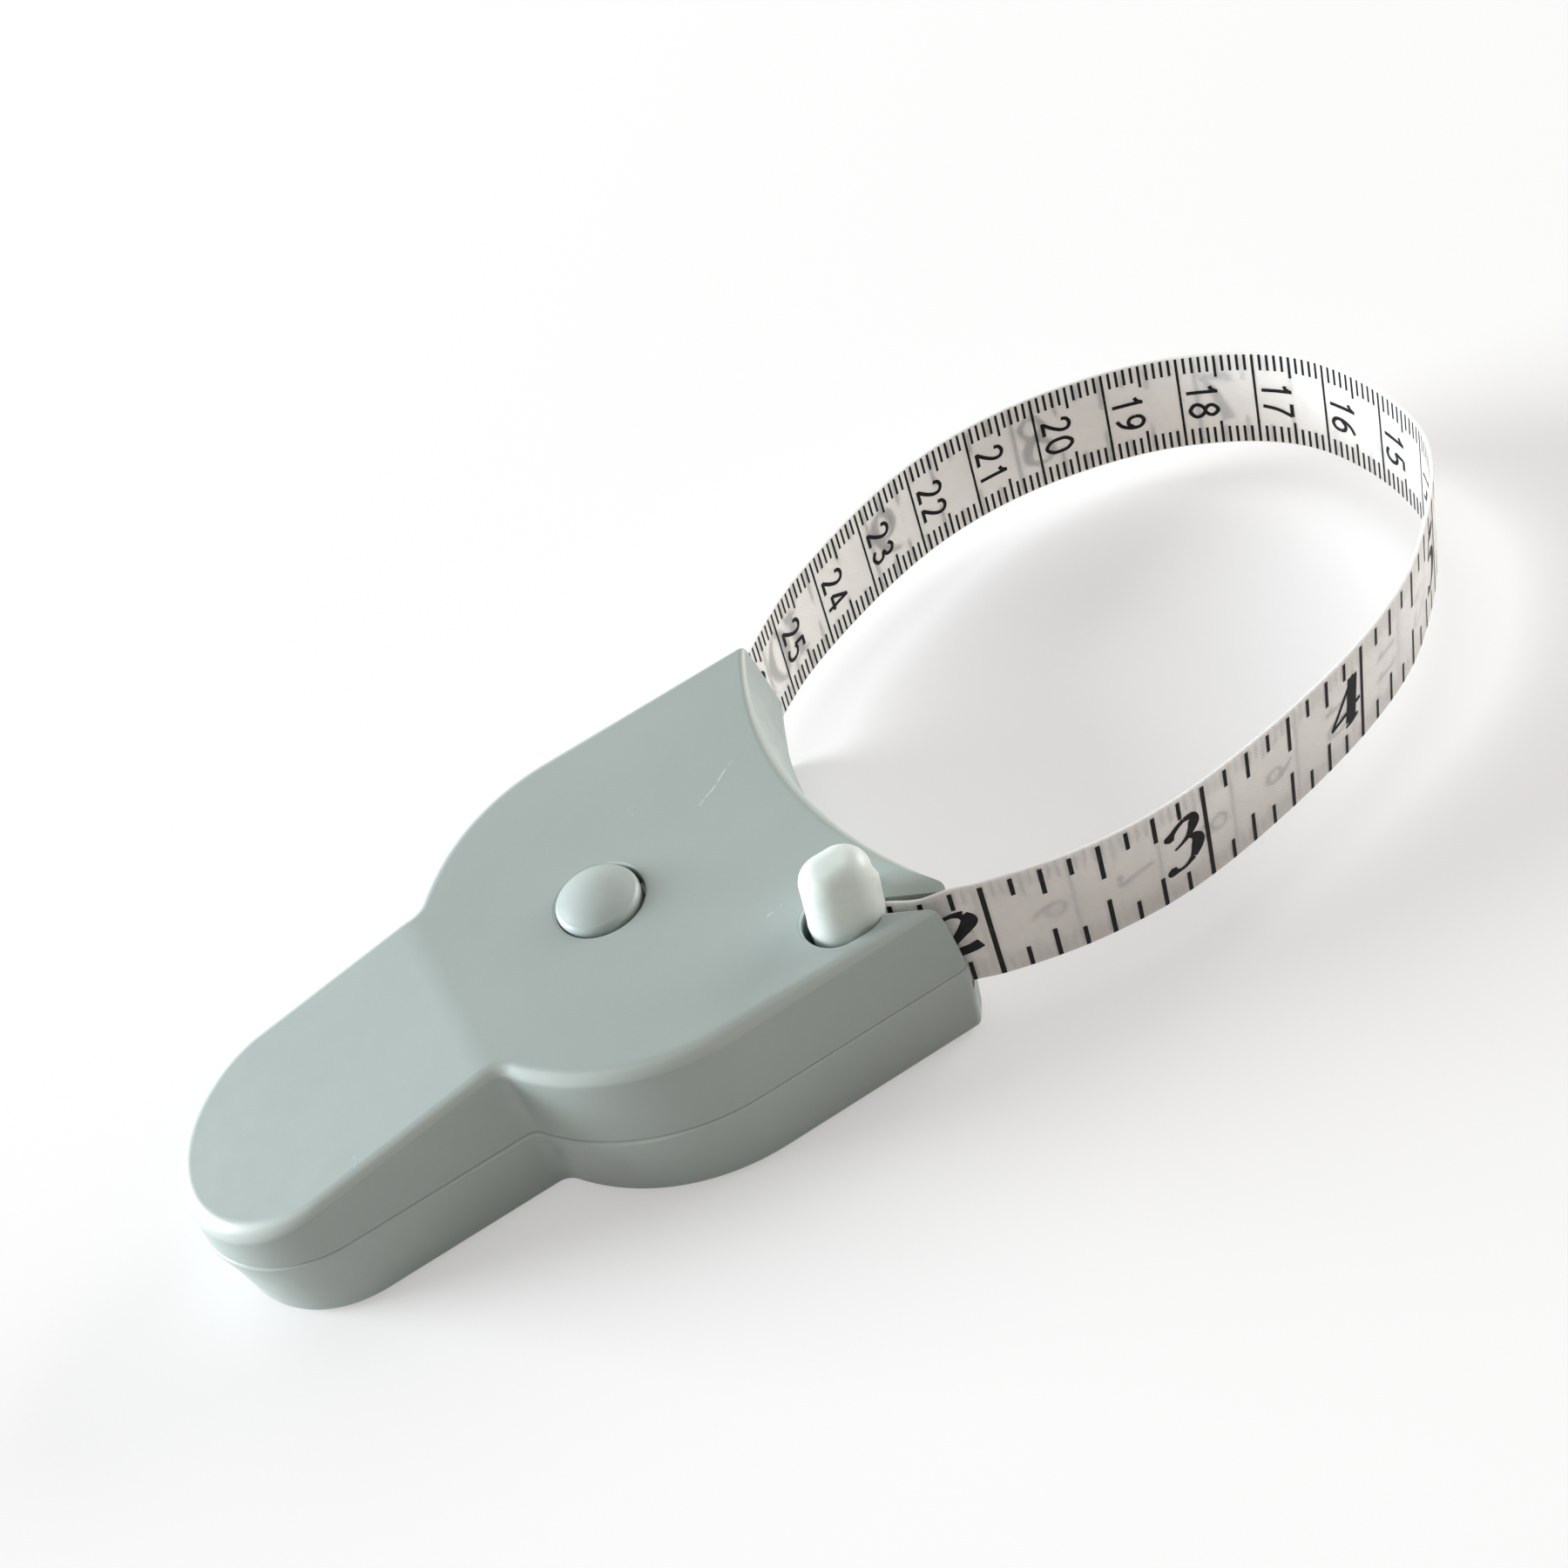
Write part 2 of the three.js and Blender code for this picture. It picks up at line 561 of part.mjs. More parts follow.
function reelHub() {
  const drumBottom = coverTop + SIDE_GAP;
  const flangeBottom = reelTop - FLANGE;
  const drum = turnedRing([
    [webHole, webBottom],
    [CHAMBER_RADIUS, webBottom],
    [CHAMBER_RADIUS, drumBottom],
    [hubRadius, drumBottom],
    [hubRadius, flangeBottom],
    [reelRadius, flangeBottom],
    [reelRadius, reelTop],
    [webHole, reelTop],
  ]);
  const groove = post(ANCHOR_RADIUS + PRESS_GAP, drumBottom - OVERCUT, flangeBottom, anchorPlace);
  const tail = springTailAngle - SPRING_TAIL / CHAMBER_RADIUS / 2;
  const run = new THREE.Vector2(Math.cos(tail), Math.sin(tail));
  const depth = CHAMBER_RADIUS + SPRING_TAIL + FIT;
  const notchBottom = springBottom - FIT;
  const notch = bar(ORIGIN, run, CHAMBER_RADIUS - FIT, depth, SPRING_NOTCH, notchBottom, springTop + FIT);
  return drum.subtract(groove).subtract(notch);
}

function reelCover() {
  const spigot = CHAMBER_RADIUS - PRESS_GAP;
  const hole = arborBoss + FIT;
  return turnedRing([
    [hole, reelBottom],
    [reelRadius, reelBottom],
    [reelRadius, coverTop],
    [spigot, coverTop],
    [spigot, spigotTop],
    [spigot - SPIGOT_WALL, spigotTop],
    [spigot - SPIGOT_WALL, coverTop],
    [hole, coverTop],
  ]);
}

function tapeRoll() {
  return turnedRing([
    [rollInner, tapeBottom],
    [rollOuter, tapeBottom],
    [rollOuter, tapeTop],
    [rollInner, tapeTop],
  ]);
}

// Route of the tape outside the reel, from the peg through the slit, the loop and the mouth
const onSlit = (along) => slitStart.clone().addScaledVector(slitRun, along);
const onMouth = (along) => mouthStart.clone().addScaledVector(mouthRun, along);
const loopCurve = new THREE.CatmullRomCurve3(
  [
    onSlit(0),
    onSlit(SLIT_LENGTH),
    ...LOOP_ROUTE.map(([x, y]) => new THREE.Vector2(x, y)),
    onMouth(SLIT_LENGTH),
    onMouth(0),
  ].map((p) => new THREE.Vector3(p.x, p.y, 0)),
  false,
  "centripetal",
);

// Points of the free loop between the horns, whose height goes evenly from the slit's to the mouth's
function loopPoints() {
  const length = loopCurve.getLength();
  const from = SLIT_LENGTH + TAPE_JOINT;
  const to = length - SLIT_LENGTH - TAPE_JOINT;
  return Array.from({ length: LOOP_STEPS + 1 }, (_, i) => {
    const share = i / LOOP_STEPS;
    const point = loopCurve.getPointAt((from + share * (to - from)) / length);
    point.z = slitTapeMid + share * (tapeMid - slitTapeMid);
    return point;
  });
}

// The tape's stretch in the slit, from the pin inside the peg to the horn's end
function tapeEndPoints() {
  const back = PEG_PIN_RADIUS + TAPE_JOINT - PEG_PIN_BACK;
  return [back, 0, SLIT_LENGTH].map((along) => {
    const p = onSlit(along);
    return new THREE.Vector3(p.x, p.y, slitTapeMid);
  });
}

// The tape's stretch in the case: off the roll on a tangent, past the guide pin and out of the mouth
function tapeLeadPoints() {
  const radius = rollOuter + TAPE_JOINT + TAPE_THICKNESS / 2;
  const bend = onMouth(-GUIDE_PIN_RADIUS);
  const leave = bend.angle() + Math.acos(radius / bend.length());
  const plan = [
    ...arc(0, 0, radius, leave + Math.PI / 6, leave, 6),
    onMouth(-GUIDE_PIN_RADIUS),
    onMouth(0),
    onMouth(SLIT_LENGTH),
  ];
  return plan.map((p) => new THREE.Vector3(p.x, p.y, tapeMid));
}

function releaseButton() {
  const rim = caseHeight + BUTTON_RIM;
  const dome = Array.from({ length: 7 }, (_, i) => {
    const share = 1 - i / 6;
    return [BUTTON_RADIUS * share, rim + BUTTON_CROWN * (1 - share ** 2)];
  });
  const recessTop = caseHeight - BUTTON_SKIN + BUTTON_RIM;
  const button = turned([
    [0, recessTop],
    [BUTTON_RECESS, recessTop],
    [BUTTON_RECESS, brakeBottom],
    [ringOuter, brakeBottom],
    [ringOuter, brakeTop],
    [BUTTON_RADIUS, brakeTop],
    ...dome,
  ]);
  const reach = BUTTON_RADIUS + KEY_DEPTH;
  const keyTop = ceiling - FIT;
  const keys = bar(ORIGIN, ACROSS, -reach, reach, KEY_WIDTH, brakeTop, keyTop);
  const bore = post(BUTTON_RECESS, brakeBottom, keyTop + OVERCUT, [0, 0], ROUND_SIDES);
  return button.add(keys.subtract(bore));
}

function brakeRing() {
  return turnedRing([
    [ringInner, ringBottom],
    [ringOuter, ringBottom],
    [ringOuter, ringTop],
    [ringInner, ringTop],
  ]);
}

// Helix of the button's spring, standing on the arbor inside the button
class Helix extends THREE.Curve {
  constructor(radius, bottom, top, turns) {
    super();
    Object.assign(this, { radius, bottom, top, turns });
  }
  getPoint(share, target = new THREE.Vector3()) {
    const angle = share * this.turns * 2 * Math.PI;
    const height = this.bottom + share * (this.top - this.bottom);
    return target.set(this.radius * Math.cos(angle), this.radius * Math.sin(angle), height);
  }
}
const coilBottom = arborTop + FIT + COIL_WIRE / 2;
const coilTop = caseHeight - BUTTON_SKIN + BUTTON_RIM - FIT - COIL_WIRE / 2;
const coil = new Helix(COIL_RADIUS, coilBottom, coilTop, COIL_TURNS);
const coilSteps = 8 * COIL_TURNS;

function buttonSpring() {
  const wire = new THREE.Shape(arc(0, 0, COIL_WIRE / 2, 0, 1.6 * Math.PI, 4));
  return solid(new THREE.ExtrudeGeometry(wire, { steps: coilSteps, extrudePath: coil }));
}

function endPeg() {
  const shoulder = pegTop - PEG_ROUND;
  const crown = [1, 2, 3].map((step) => {
    const angle = (step * Math.PI) / 6;
    const height = shoulder + PEG_ROUND * Math.sin(angle);
    return oblong(-PEG_TAPER - PEG_ROUND * (1 - Math.cos(angle)), height);
  });
  const stem = [oblong(0, pegBottom), oblong(0, caseHeight), oblong(-PEG_TAPER, shoulder)];
  let peg = loft([...stem, ...crown], oblongCap);
  const finTop = caseHeight + FIN_RISE;
  peg = peg.add(bar(slitStart, slitRun, -2 * FIN_LENGTH, FIN_LENGTH, FIN_THICKNESS, pegBottom, finTop));
  const slotTop = slitTapeMid + TAPE_WIDTH / 2 + FIT;
  const slotWidth = TAPE_THICKNESS + 2 * FIT;
  const slotBottom = pegBottom - OVERCUT;
  peg = peg.subtract(bar(slitStart, slitRun, -PEG_PIN_BACK, 2 * FIN_LENGTH, slotWidth, slotBottom, slotTop));
  const pin = onSlit(-PEG_PIN_BACK);
  return peg.subtract(post(PEG_PIN_RADIUS + PRESS_GAP, slotBottom, slotTop, [pin.x, pin.y]));
}

function pegPin() {
  const place = onSlit(-PEG_PIN_BACK);
  const bottom = slitTapeMid - TAPE_WIDTH / 2;
  return post(PEG_PIN_RADIUS, bottom, bottom + TAPE_WIDTH, [place.x, place.y], 12);
}

// Finishes
function finish(color, roughness, metalness = 0) {
  return new THREE.MeshStandardMaterial({ color, roughness, metalness });
}
const shellPlastic = finish(0xa3b0ad, 0.45);
const buttonPlastic = finish(0xc8d0cd, 0.4);
const innerPlastic = finish(0xe8e6df, 0.5);
const tapeCloth = finish(0xe1dcd7, 0.6);
const rubber = finish(0x2a2a2a, 0.9);
const steel = finish(0xb9bcc0, 0.35, 1);

const part = new THREE.Group();
function add(name, shape, material) {
  const mesh = new THREE.Mesh(geometryOf(shape), material);
  mesh.name = name;
  part.add(mesh);
}

add("upper_shell", upperShell(), shellPlastic);
add("lower_shell", lowerShell(), shellPlastic);
for (const [name, place] of Object.entries(screwPlaces)) add(`case_screw_${name}`, caseScrew(place), steel);
add("spring_arbor", springArbor(), steel);
add("reel_hub", reelHub(), innerPlastic);
add("reel_cover", reelCover(), innerPlastic);
add("mainspring", strip(springRoute, springTop - springBottom, SPRING_THICKNESS), steel);
add("tape_anchor", post(ANCHOR_RADIUS, tapeBottom, tapeTop, anchorPlace, 12), steel);
add("tape_roll", tapeRoll(), tapeCloth);
add("tape_lead", strip(tapeLeadPoints(), TAPE_WIDTH, TAPE_THICKNESS), tapeCloth);
add("tape_loop", strip(loopPoints(), TAPE_WIDTH, TAPE_THICKNESS), tapeCloth);
add("tape_end", strip(tapeEndPoints(), TAPE_WIDTH, TAPE_THICKNESS), tapeCloth);
add("guide_pin", post(GUIDE_PIN_RADIUS, FLOOR + PRESS_GAP, guideTop, guidePlace), steel);
add("release_button", releaseButton(), buttonPlastic);
add("brake_ring", brakeRing(), rubber);
add("button_spring", buttonSpring(), steel);
add("end_peg", endPeg(), buttonPlastic);
add("peg_pin", pegPin(), steel);

const coilGap = selfGap(coil.getSpacedPoints(coilSteps), COIL_WIRE, 6);
console.log(`tape on the reel ${tapeWound.toFixed(0)} mm`);
console.log(`mainspring's least gap to itself ${selfGap(springRoute, SPRING_THICKNESS, 12).toFixed(2)} mm`);
console.log(`button spring's least gap to itself ${coilGap.toFixed(2)} mm`);

export default part;
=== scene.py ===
"""A push-button body tape measure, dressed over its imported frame. Sizes are in millimetres until MM."""

import math

import bmesh
import bpy
from mathutils import Matrix, Vector


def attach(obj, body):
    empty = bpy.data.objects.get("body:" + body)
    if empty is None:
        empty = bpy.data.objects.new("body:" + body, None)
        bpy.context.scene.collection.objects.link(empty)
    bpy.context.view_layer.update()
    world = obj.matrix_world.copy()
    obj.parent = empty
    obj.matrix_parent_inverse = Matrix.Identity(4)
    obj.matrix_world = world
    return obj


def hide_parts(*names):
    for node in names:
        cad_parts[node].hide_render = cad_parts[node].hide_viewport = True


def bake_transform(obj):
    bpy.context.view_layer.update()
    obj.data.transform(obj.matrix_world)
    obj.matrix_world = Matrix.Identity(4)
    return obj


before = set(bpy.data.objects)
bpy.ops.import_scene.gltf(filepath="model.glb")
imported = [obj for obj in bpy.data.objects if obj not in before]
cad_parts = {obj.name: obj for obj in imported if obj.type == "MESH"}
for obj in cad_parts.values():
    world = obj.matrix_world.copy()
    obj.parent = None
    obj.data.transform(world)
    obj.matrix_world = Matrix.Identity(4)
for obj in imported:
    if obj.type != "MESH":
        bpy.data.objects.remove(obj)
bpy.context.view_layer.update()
MM = 0.001
QUARTER = math.pi / 2
ORIGIN = Vector((0.0, 0.0))
OVERCUT = 1.0

# Case
CASE_HEIGHT = 21.3
PARTING = CASE_HEIGHT / 2
PARTING_GAP = 0.02
BODY_RADIUS = 25.65
BODY_CENTRE = 3.8
HANDLE_HALF_WIDTH = 13.5
HANDLE_REACH = 53.8
HANDLE_FALL = 6.0
FALL_DEPTH = 3.0
CREASE_SOFTNESS = 1.4
CREASE_CUTS = 4
NECK_FILLET = 2.5
FORK_RADIUS = 54.6
FORK_DEPTH = 25.2
FORK_FLARE = 3.2
LEFT_TIP_RADIUS = 0.5
RIGHT_TIP_RADIUS = 1.0
LEAST_RADIUS = 0.3
DRAFT = 0.5
WALL = 1.8
FLOOR = 1.7

# Edges of the case: radii, and how much of the lip shows, from the handle's end to the fork
LOWER_EDGE = 0.9
UPPER_EDGES = [(-50, 2.0), (-36, 1.2), (-23, 1.1), (-14, 1.8), (22, 1.8), (31, 0.9)]
EDGE_REACH = 2.0
LIP_ROUND = 0.55
LIP_STEP = 0.28
LIP_SHARES = [(-52, 0.95), (-42, 0.45), (-36, 0.18), (-24, 0.18), (-18, 1.0), (-9, 1.0), (-2, 0.55), (36, 0.45)]
# Painted highlight on the rounded edges: (upward part of the normal, how much paler)
EDGE_HIGHLIGHT_BY_SLOPE = [(0.1, 0.0), (0.45, 1.0), (0.86, 1.0), (0.985, 0.0)]

# Inside of the case
TUBE_DEPTH = 2.2
TUBE_WALL = 1.25
KEYWAY_HALF_WIDTH = 1.2
KEYWAY_REACH = 5.75
ARBOR_BOSS_RADIUS = 4.1
ARBOR_BOSS_TOP = 3.1
ARBOR_BORE = 2.6
BOSS_RADIUS = 3.2
PILOT_RADIUS = 1.05
PILOT_DEPTH = 4.3
SCREW_HEAD_HOLE = 2.3
SCREW_HEAD_SEAT = 2.2
SCREW_HOLE = 1.15
SCREW_HOLE_BEVEL = 0.3
SCREW_PLACES = {"handle": (-43.6, 0.0), "left": (6.0, 22.95), "right": (6.0, -22.95)}
SCREW_PROFILE = [
    (0, 0.65), (1.5, 0.65), (1.85, 0.75), (2.0, 1.0), (2.0, 2.0), (0.85, 2.0), (0.85, 13.8), (0, 14.65)
]
RECESS_HALF_WIDTH = 0.28
RECESS_REACH = 1.15
RECESS_FOOT = 0.3
RECESS_TOP = 1.25

# Peg, socket, slit and mouth
PEG_HALF_LENGTH = 4.2
PEG_HALF_WIDTH = 3.35
PEG_TAPER = 0.3
PEG_LEAN = 0.3
PEG_RISE = 7.7
PEG_ROUND = 2.3
PEG_SIDE_WALL = 2.35
PEG_FORK_WALL = 4.5
PEG_FOOT_GAP = 0.3
FIN_WAY = Vector((1.0, -0.26)).normalized()
FIN_FOOT = 0.05
FIN_SWELL = 0.4
FIN_GROWTH = 3.6
FIN_TOP = 5.0
FIN_FADE = 2.0
FIN_SPREAD = 0.22
PEG_SLOT_HALF_WIDTH = 0.4
PEG_SLOT_GAP = 0.3
PEG_SLOT_BOTTOM = 4.0
PEG_SLOT_BACK = -4.0
PEG_SLOT_FRONT = 3.0
SOCKET_GAP = 0.35
SOCKET_SHIFT = -0.4
SOCKET_WALL = 2
HORN_WALL = 3.0
HORN_BACK = -6.0
HORN_FRONT = 8.0
HORN_PAST = 12.0
SLIT_ANGLE = math.radians(34)
SLIT_WIDTH = 2.4
SLIT_SPREAD = 0.4
SLIT_FOOT = 0.65
SLIT_LENGTH = 5.65
SLIT_OFFSET = 1.6
SLIT_FLOOR = 5.85
SLIT_STEP = 0.15
SCOOP_DEPTH = 1.0
SCOOP_ANGLE = math.radians(22)
SCOOP_WIDTH = 8
SCOOP_OVERLAP = 0.5
SCOOP_BACK = -1.5
RIM_ROUND = 0.4
MOUTH_LOW = 3.0
MOUTH_HIGH = 19.15

# Button
BUTTON_RADIUS = 4.85
BUTTON_HOLE = 5.15
BUTTON_RIM = 0.8
BUTTON_CROWN = 1.2
BUTTON_SHIFT = (-0.2, 0.1)
BUTTON_EDGE = 0.85
BUTTON_EDGE_SWEEP = math.radians(68)
BUTTON_DEPTH = 6.1
BUTTON_SKIN = 2.6
BUTTON_BORE = 3.0
BRAKE_FLANGE_RADIUS = 8.5
BRAKE_FLANGE = 0.9
KEY_HALF_WIDTH = 0.9
KEY_START = 4.0
KEY_REACH = 0.6
KEY_LIFT = 0.5
KEY_GAP = 0.3
SPRING_HOOK_REACH = 2.75

# Tape
TAPE_WIDTH = 14.7
TAPE_THICKNESS = 0.4
TAPE_EDGE = 0.12
TAPE_STEP = 0.8
TAPE_IN_PEG = 3.0
TAPE_GAP = 0.02
TAPE_LOW_MIDDLE = 11.39
TAPE_HIGH_MIDDLE = 13.45
TAPE_SAG = 0.46
TAPE_DROP = 0.74
TAPE_LEANS = [(8.65, -0.022), (30, 0.007), (60, 0.031), (90, -0.01), (120, -0.037), (150, -0.006), (180, 0.002)]
MOUTH_LEAN = -0.065
ROLL_RADIUS = 17.15
ROLL_STEPS = 12
SLIT_ROUTE = [(0.0, 0.0), (3.0, -0.18), (6.15, 0.81), (9.5, 1.42)]
MOUTH_ROUTE = [(5.65, 0.5), (0.0, 0.0), (-1.0, 0.0)]
LOOP_ROUTE = [
    (44.0, -28.6), (56.6, -29.2), (83.3, -23.6), (97.7, -16.2), (112.1, -0.4),
    (113.1, 21.4), (102.4, 35.1), (84.8, 42.9), (66.3, 43.6), (42.1, 34.7),
]

# Printing
PRINT_START = 41.4
INK_LIFT = 0.012
INK_LAYER = 0.004
INNER_EDGES = (7.13, -7.13)
OUTER_EDGES = (6.82, -7.2)
PLAIN_WEIGHT = 0.13
SLANTED_SPREAD = 1.48

# Places that follow from the sizes
FORK_CENTRE = FORK_DEPTH + FORK_RADIUS
NECK_Y = HANDLE_HALF_WIDTH + NECK_FILLET
NECK_X = BODY_CENTRE - math.sqrt((BODY_RADIUS + NECK_FILLET) ** 2 - NECK_Y**2)
PEG_Y = -(BODY_RADIUS - PEG_SIDE_WALL - PEG_HALF_WIDTH)
PEG_X = FORK_CENTRE - math.sqrt(FORK_RADIUS**2 - PEG_Y**2) - PEG_FORK_WALL - PEG_HALF_LENGTH
SLIT_START = Vector((PEG_X + PEG_HALF_LENGTH, PEG_Y - SLIT_OFFSET))
SLIT_RUN = Vector((math.cos(SLIT_ANGLE), -math.sin(SLIT_ANGLE)))
HORN_END = SLIT_START.dot(SLIT_RUN) + SLIT_LENGTH
MOUTH_START = Vector((SLIT_START.x, -SLIT_START.y))
MOUTH_RUN = Vector((SLIT_RUN.x, -SLIT_RUN.y))


# ---- meshes


def add_piece(name, mesh):
    piece = bpy.data.objects.new(name, mesh)
    bpy.context.scene.collection.objects.link(piece)
    return piece


def piece_from(name, points, faces):
    mesh = bpy.data.meshes.new(name)
    mesh.from_pydata([Vector(p) * MM for p in points], [], faces)
    mesh.validate()
    return add_piece(name, mesh)


def edited(mesh, change):
    """Changes a mesh by a function that works on its edit mesh."""
    edit = bmesh.new()
    edit.from_mesh(mesh)
    change(edit)
    edit.to_mesh(mesh)
    edit.free()


def settle(piece):
    """Turns a piece's modifiers into its mesh."""
    graph = bpy.context.evaluated_depsgraph_get()
    mesh = bpy.data.meshes.new_from_object(piece.evaluated_get(graph))
    old = piece.data
    piece.modifiers.clear()
    piece.data = mesh
    bpy.data.meshes.remove(old)


def combine(piece, tool, operation):
    """Joins a tool to a piece, cuts it out or keeps what both share, and removes the tool."""
    modifier = piece.modifiers.new("combine", "BOOLEAN")
    modifier.operation = operation
    modifier.solver = "EXACT"
    modifier.object = tool
    settle(piece)
    mesh = tool.data
    bpy.data.objects.remove(tool)
    bpy.data.meshes.remove(mesh)


def cut(piece, *tools):
    for tool in tools:
        combine(piece, tool, "DIFFERENCE")


def ring_faces(count, levels, first=0):
    """Faces between rings of points that lie one after another."""
    faces = []
    for start in range(first, first + levels * count, count):
        for i in range(count):
            a, b = start + i, start + (i + 1) % count
            faces.append((a, b, b + count, a + count))
    return faces


def loft(name, rings):
    """Closed skin over rings that run anticlockwise as seen from the last one."""
    count = len(rings[0])
    points = [p for ring in rings for p in ring]
    ends = [tuple(reversed(range(count))), tuple(range(len(points) - count, len(points)))]
    return piece_from(name, points, ends + ring_faces(count, len(rings) - 1))


def turned(name, profile, place=ORIGIN, sides=96):
    """Piece turned about an upright axis from (radius, height) pairs that start and end on the axis."""
    points = [(place[0], place[1], profile[0][1])]
    for radius, height in profile[1:-1]:
        for k in range(sides):
            angle = 2 * math.pi * k / sides
            points.append((place[0] + radius * math.cos(angle), place[1] + radius * math.sin(angle), height))
    points.append((place[0], place[1], profile[-1][1]))
    top = len(points) - 1
    faces = []
    for k in range(sides):
        faces.append((0, 1 + (k + 1) % sides, 1 + k))
        faces.append((top, top - sides + k, top - sides + (k + 1) % sides))
    return piece_from(name, points, faces + ring_faces(sides, len(profile) - 3, 1))


def post(radius, bottom, top, place=ORIGIN, sides=48):
    return turned("post", [(0, bottom), (radius, bottom), (radius, top), (0, top)], place, sides)


def box_section(half, bottom, top):
    return [(-half, bottom), (half, bottom), (half, top), (-half, top)]


def slab(name, start, run, outline, begin, end):
    """Bar along a direction in plan, whose cross-section is a ring of (aside, height) pairs."""
    side = Vector((-run.y, run.x))
    points = []
    for along in (begin, end):
        for aside, height in outline:
            spot = start + run * along + side * aside
            points.append((spot.x, spot.y, height))
    count = len(outline)
    faces = [tuple(range(count)), tuple(reversed(range(count, 2 * count)))]
    for i in range(count):
        k = (i + 1) % count
        faces.append((i, i + count, k + count, k))
    piece = piece_from(name, points, faces)
    edited(piece.data, lambda edit: bmesh.ops.recalc_face_normals(edit, faces=edit.faces))
    return piece


def smooth(piece, degrees=35):
    for face in piece.data.polygons:
        face.use_smooth = True
    piece.data.set_sharp_from_angle(angle=math.radians(degrees))


def soften(piece, degrees=35):
    """Smooth shading that leaves the large flats even."""
    smooth(piece, degrees)
    modifier = piece.modifiers.new("even normals", "WEIGHTED_NORMAL")
    modifier.keep_sharp = True
    modifier.weight = 80
    settle(piece)


def paint_edge_highlight(piece):
    """Paints a highlight on the edges that are rounded over to the top, by how steeply each corner's normal
    points up.
    """
    marks = piece.data.attributes.new("painted_edge_highlight", "FLOAT", "CORNER")
    for mark, normal in zip(marks.data, piece.data.corner_normals):
        mark.value = between(normal.vector.z, EDGE_HIGHLIGHT_BY_SLOPE)


def dress(piece, material, body, slot, *nodes):
    piece.data.materials.clear()
    piece.data.materials.append(material)
    if body:
        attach(piece, body)
    if nodes:
        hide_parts(*nodes)


# ---- outlines


def none_to_one(value):
    return min(1.0, max(0.0, value))


def eased(share):
    return share * share * (3 - 2 * share)


def between(value, marks):
    """Value read off a list of (place, value) marks, eased between them."""
    for (a, low), (b, high) in zip(marks, marks[1:]):
        if value <= b:
            return low + (high - low) * eased(max(0.0, (value - a) / (b - a)))
    return marks[-1][1]


def rounding(radius, steps, first=0, sweep=QUARTER):
    """(rise, inset) at each step over a rounded edge, from the wall to the top."""
    angles = [sweep * step / steps for step in range(first, steps + 1)]
    return [(radius * math.sin(angle), radius * (1 - math.cos(angle))) for angle in angles]


def arc(x, y, radius, start, stop, steps, skip_first=False):
    points = []
    for i in range(1 if skip_first else 0, steps + 1):
        angle = start + (stop - start) * i / steps
        points.append((x + radius * math.cos(angle), y + radius * math.sin(angle)))
    return points


def case_outline(grow):
    """Plan of the case, grown outwards: handle end, right side, right horn, fork, left horn, left side."""
    body = BODY_RADIUS + grow
    fork = FORK_RADIUS - (FORK_FLARE * grow if grow > 0 else grow)
    fillet = max(NECK_FILLET - grow, LEAST_RADIUS)
    neck = math.atan2(NECK_Y, BODY_CENTRE - NECK_X)
    tip = max(RIGHT_TIP_RADIUS + grow, LEAST_RADIUS)
    outer_y = tip - body
    outer_x = (HORN_END + grow - tip - outer_y * SLIT_RUN.y) / SLIT_RUN.x
    across = Vector((-SLIT_RUN.y, SLIT_RUN.x))
    foot = SLIT_RUN * (HORN_END + grow - tip)
    to_fork = foot - Vector((FORK_CENTRE, 0.0))
    aside = to_fork.dot(across)
    inner = foot + across * (-aside - math.sqrt(aside**2 - to_fork.length_squared + (fork + tip) ** 2))
    inner_angle = math.atan2(-inner.y, FORK_CENTRE - inner.x)
    left = max(LEFT_TIP_RADIUS + grow, LEAST_RADIUS)
    left_y = body - left
    left_x = FORK_CENTRE - math.sqrt((fork + left) ** 2 - left_y**2)
    left_angle = math.atan2(-left_y, FORK_CENTRE - left_x)
    handle_x = HANDLE_HALF_WIDTH - HANDLE_REACH
    return (
        arc(handle_x, 0, HANDLE_HALF_WIDTH + grow, QUARTER, 3 * QUARTER, 56)
        + arc(NECK_X, -NECK_Y, fillet, QUARTER, neck, 10)
        + arc(BODY_CENTRE, 0, body, math.pi + neck, 3 * QUARTER, 30, True)
        + arc(outer_x, outer_y, tip, -QUARTER, -SLIT_ANGLE, 8)
        + arc(inner.x, inner.y, tip, -SLIT_ANGLE, inner_angle, 10)
        + arc(FORK_CENTRE, 0, fork, math.pi + inner_angle, math.pi + left_angle, 48, True)
        + arc(left_x, left_y, left, left_angle, QUARTER, 10, True)
        + arc(BODY_CENTRE, 0, body, QUARTER, math.pi - neck, 30)
        + arc(NECK_X, NECK_Y, fillet, -neck, -QUARTER, 10, True)
    )


def case_ring(height, grow):
    return [(x, y, height) for x, y in case_outline(grow)]


def draft_at(height):
    return DRAFT * (1 - abs(height - PARTING) / PARTING)


def wall_levels(*rises):
    """(height, growth) at places up the upper half's wall."""
    return [(PARTING + rise, draft_at(PARTING + rise)) for rise in rises]


def upper_rings():
    """The upper half's rings. Its rounded edge is wide round the body and tighter along the handle."""
    low = PARTING_GAP / 2
    levels = [(PARTING + low + rise, DRAFT - inset) for rise, inset in ((0, 0.08), (0.03, 0.03), (0.1, 0.005))]
    rings = [case_ring(height, grow) for height, grow in levels + wall_levels(low + 0.3, 4, 7.5)]
    full, small = case_outline(0.0), case_outline(-EDGE_REACH)
    for rise, inset in rounding(1.0, 9):
        ring = []
        for (x, y), (x_in, y_in) in zip(full, small):
            radius = between(x, UPPER_EDGES)
            edge = CASE_HEIGHT - radius
            share = (radius * inset - draft_at(edge)) / EDGE_REACH
            ring.append((x + (x_in - x) * share, y + (y_in - y) * share, edge + radius * rise))
        rings.append(ring)
    return rings


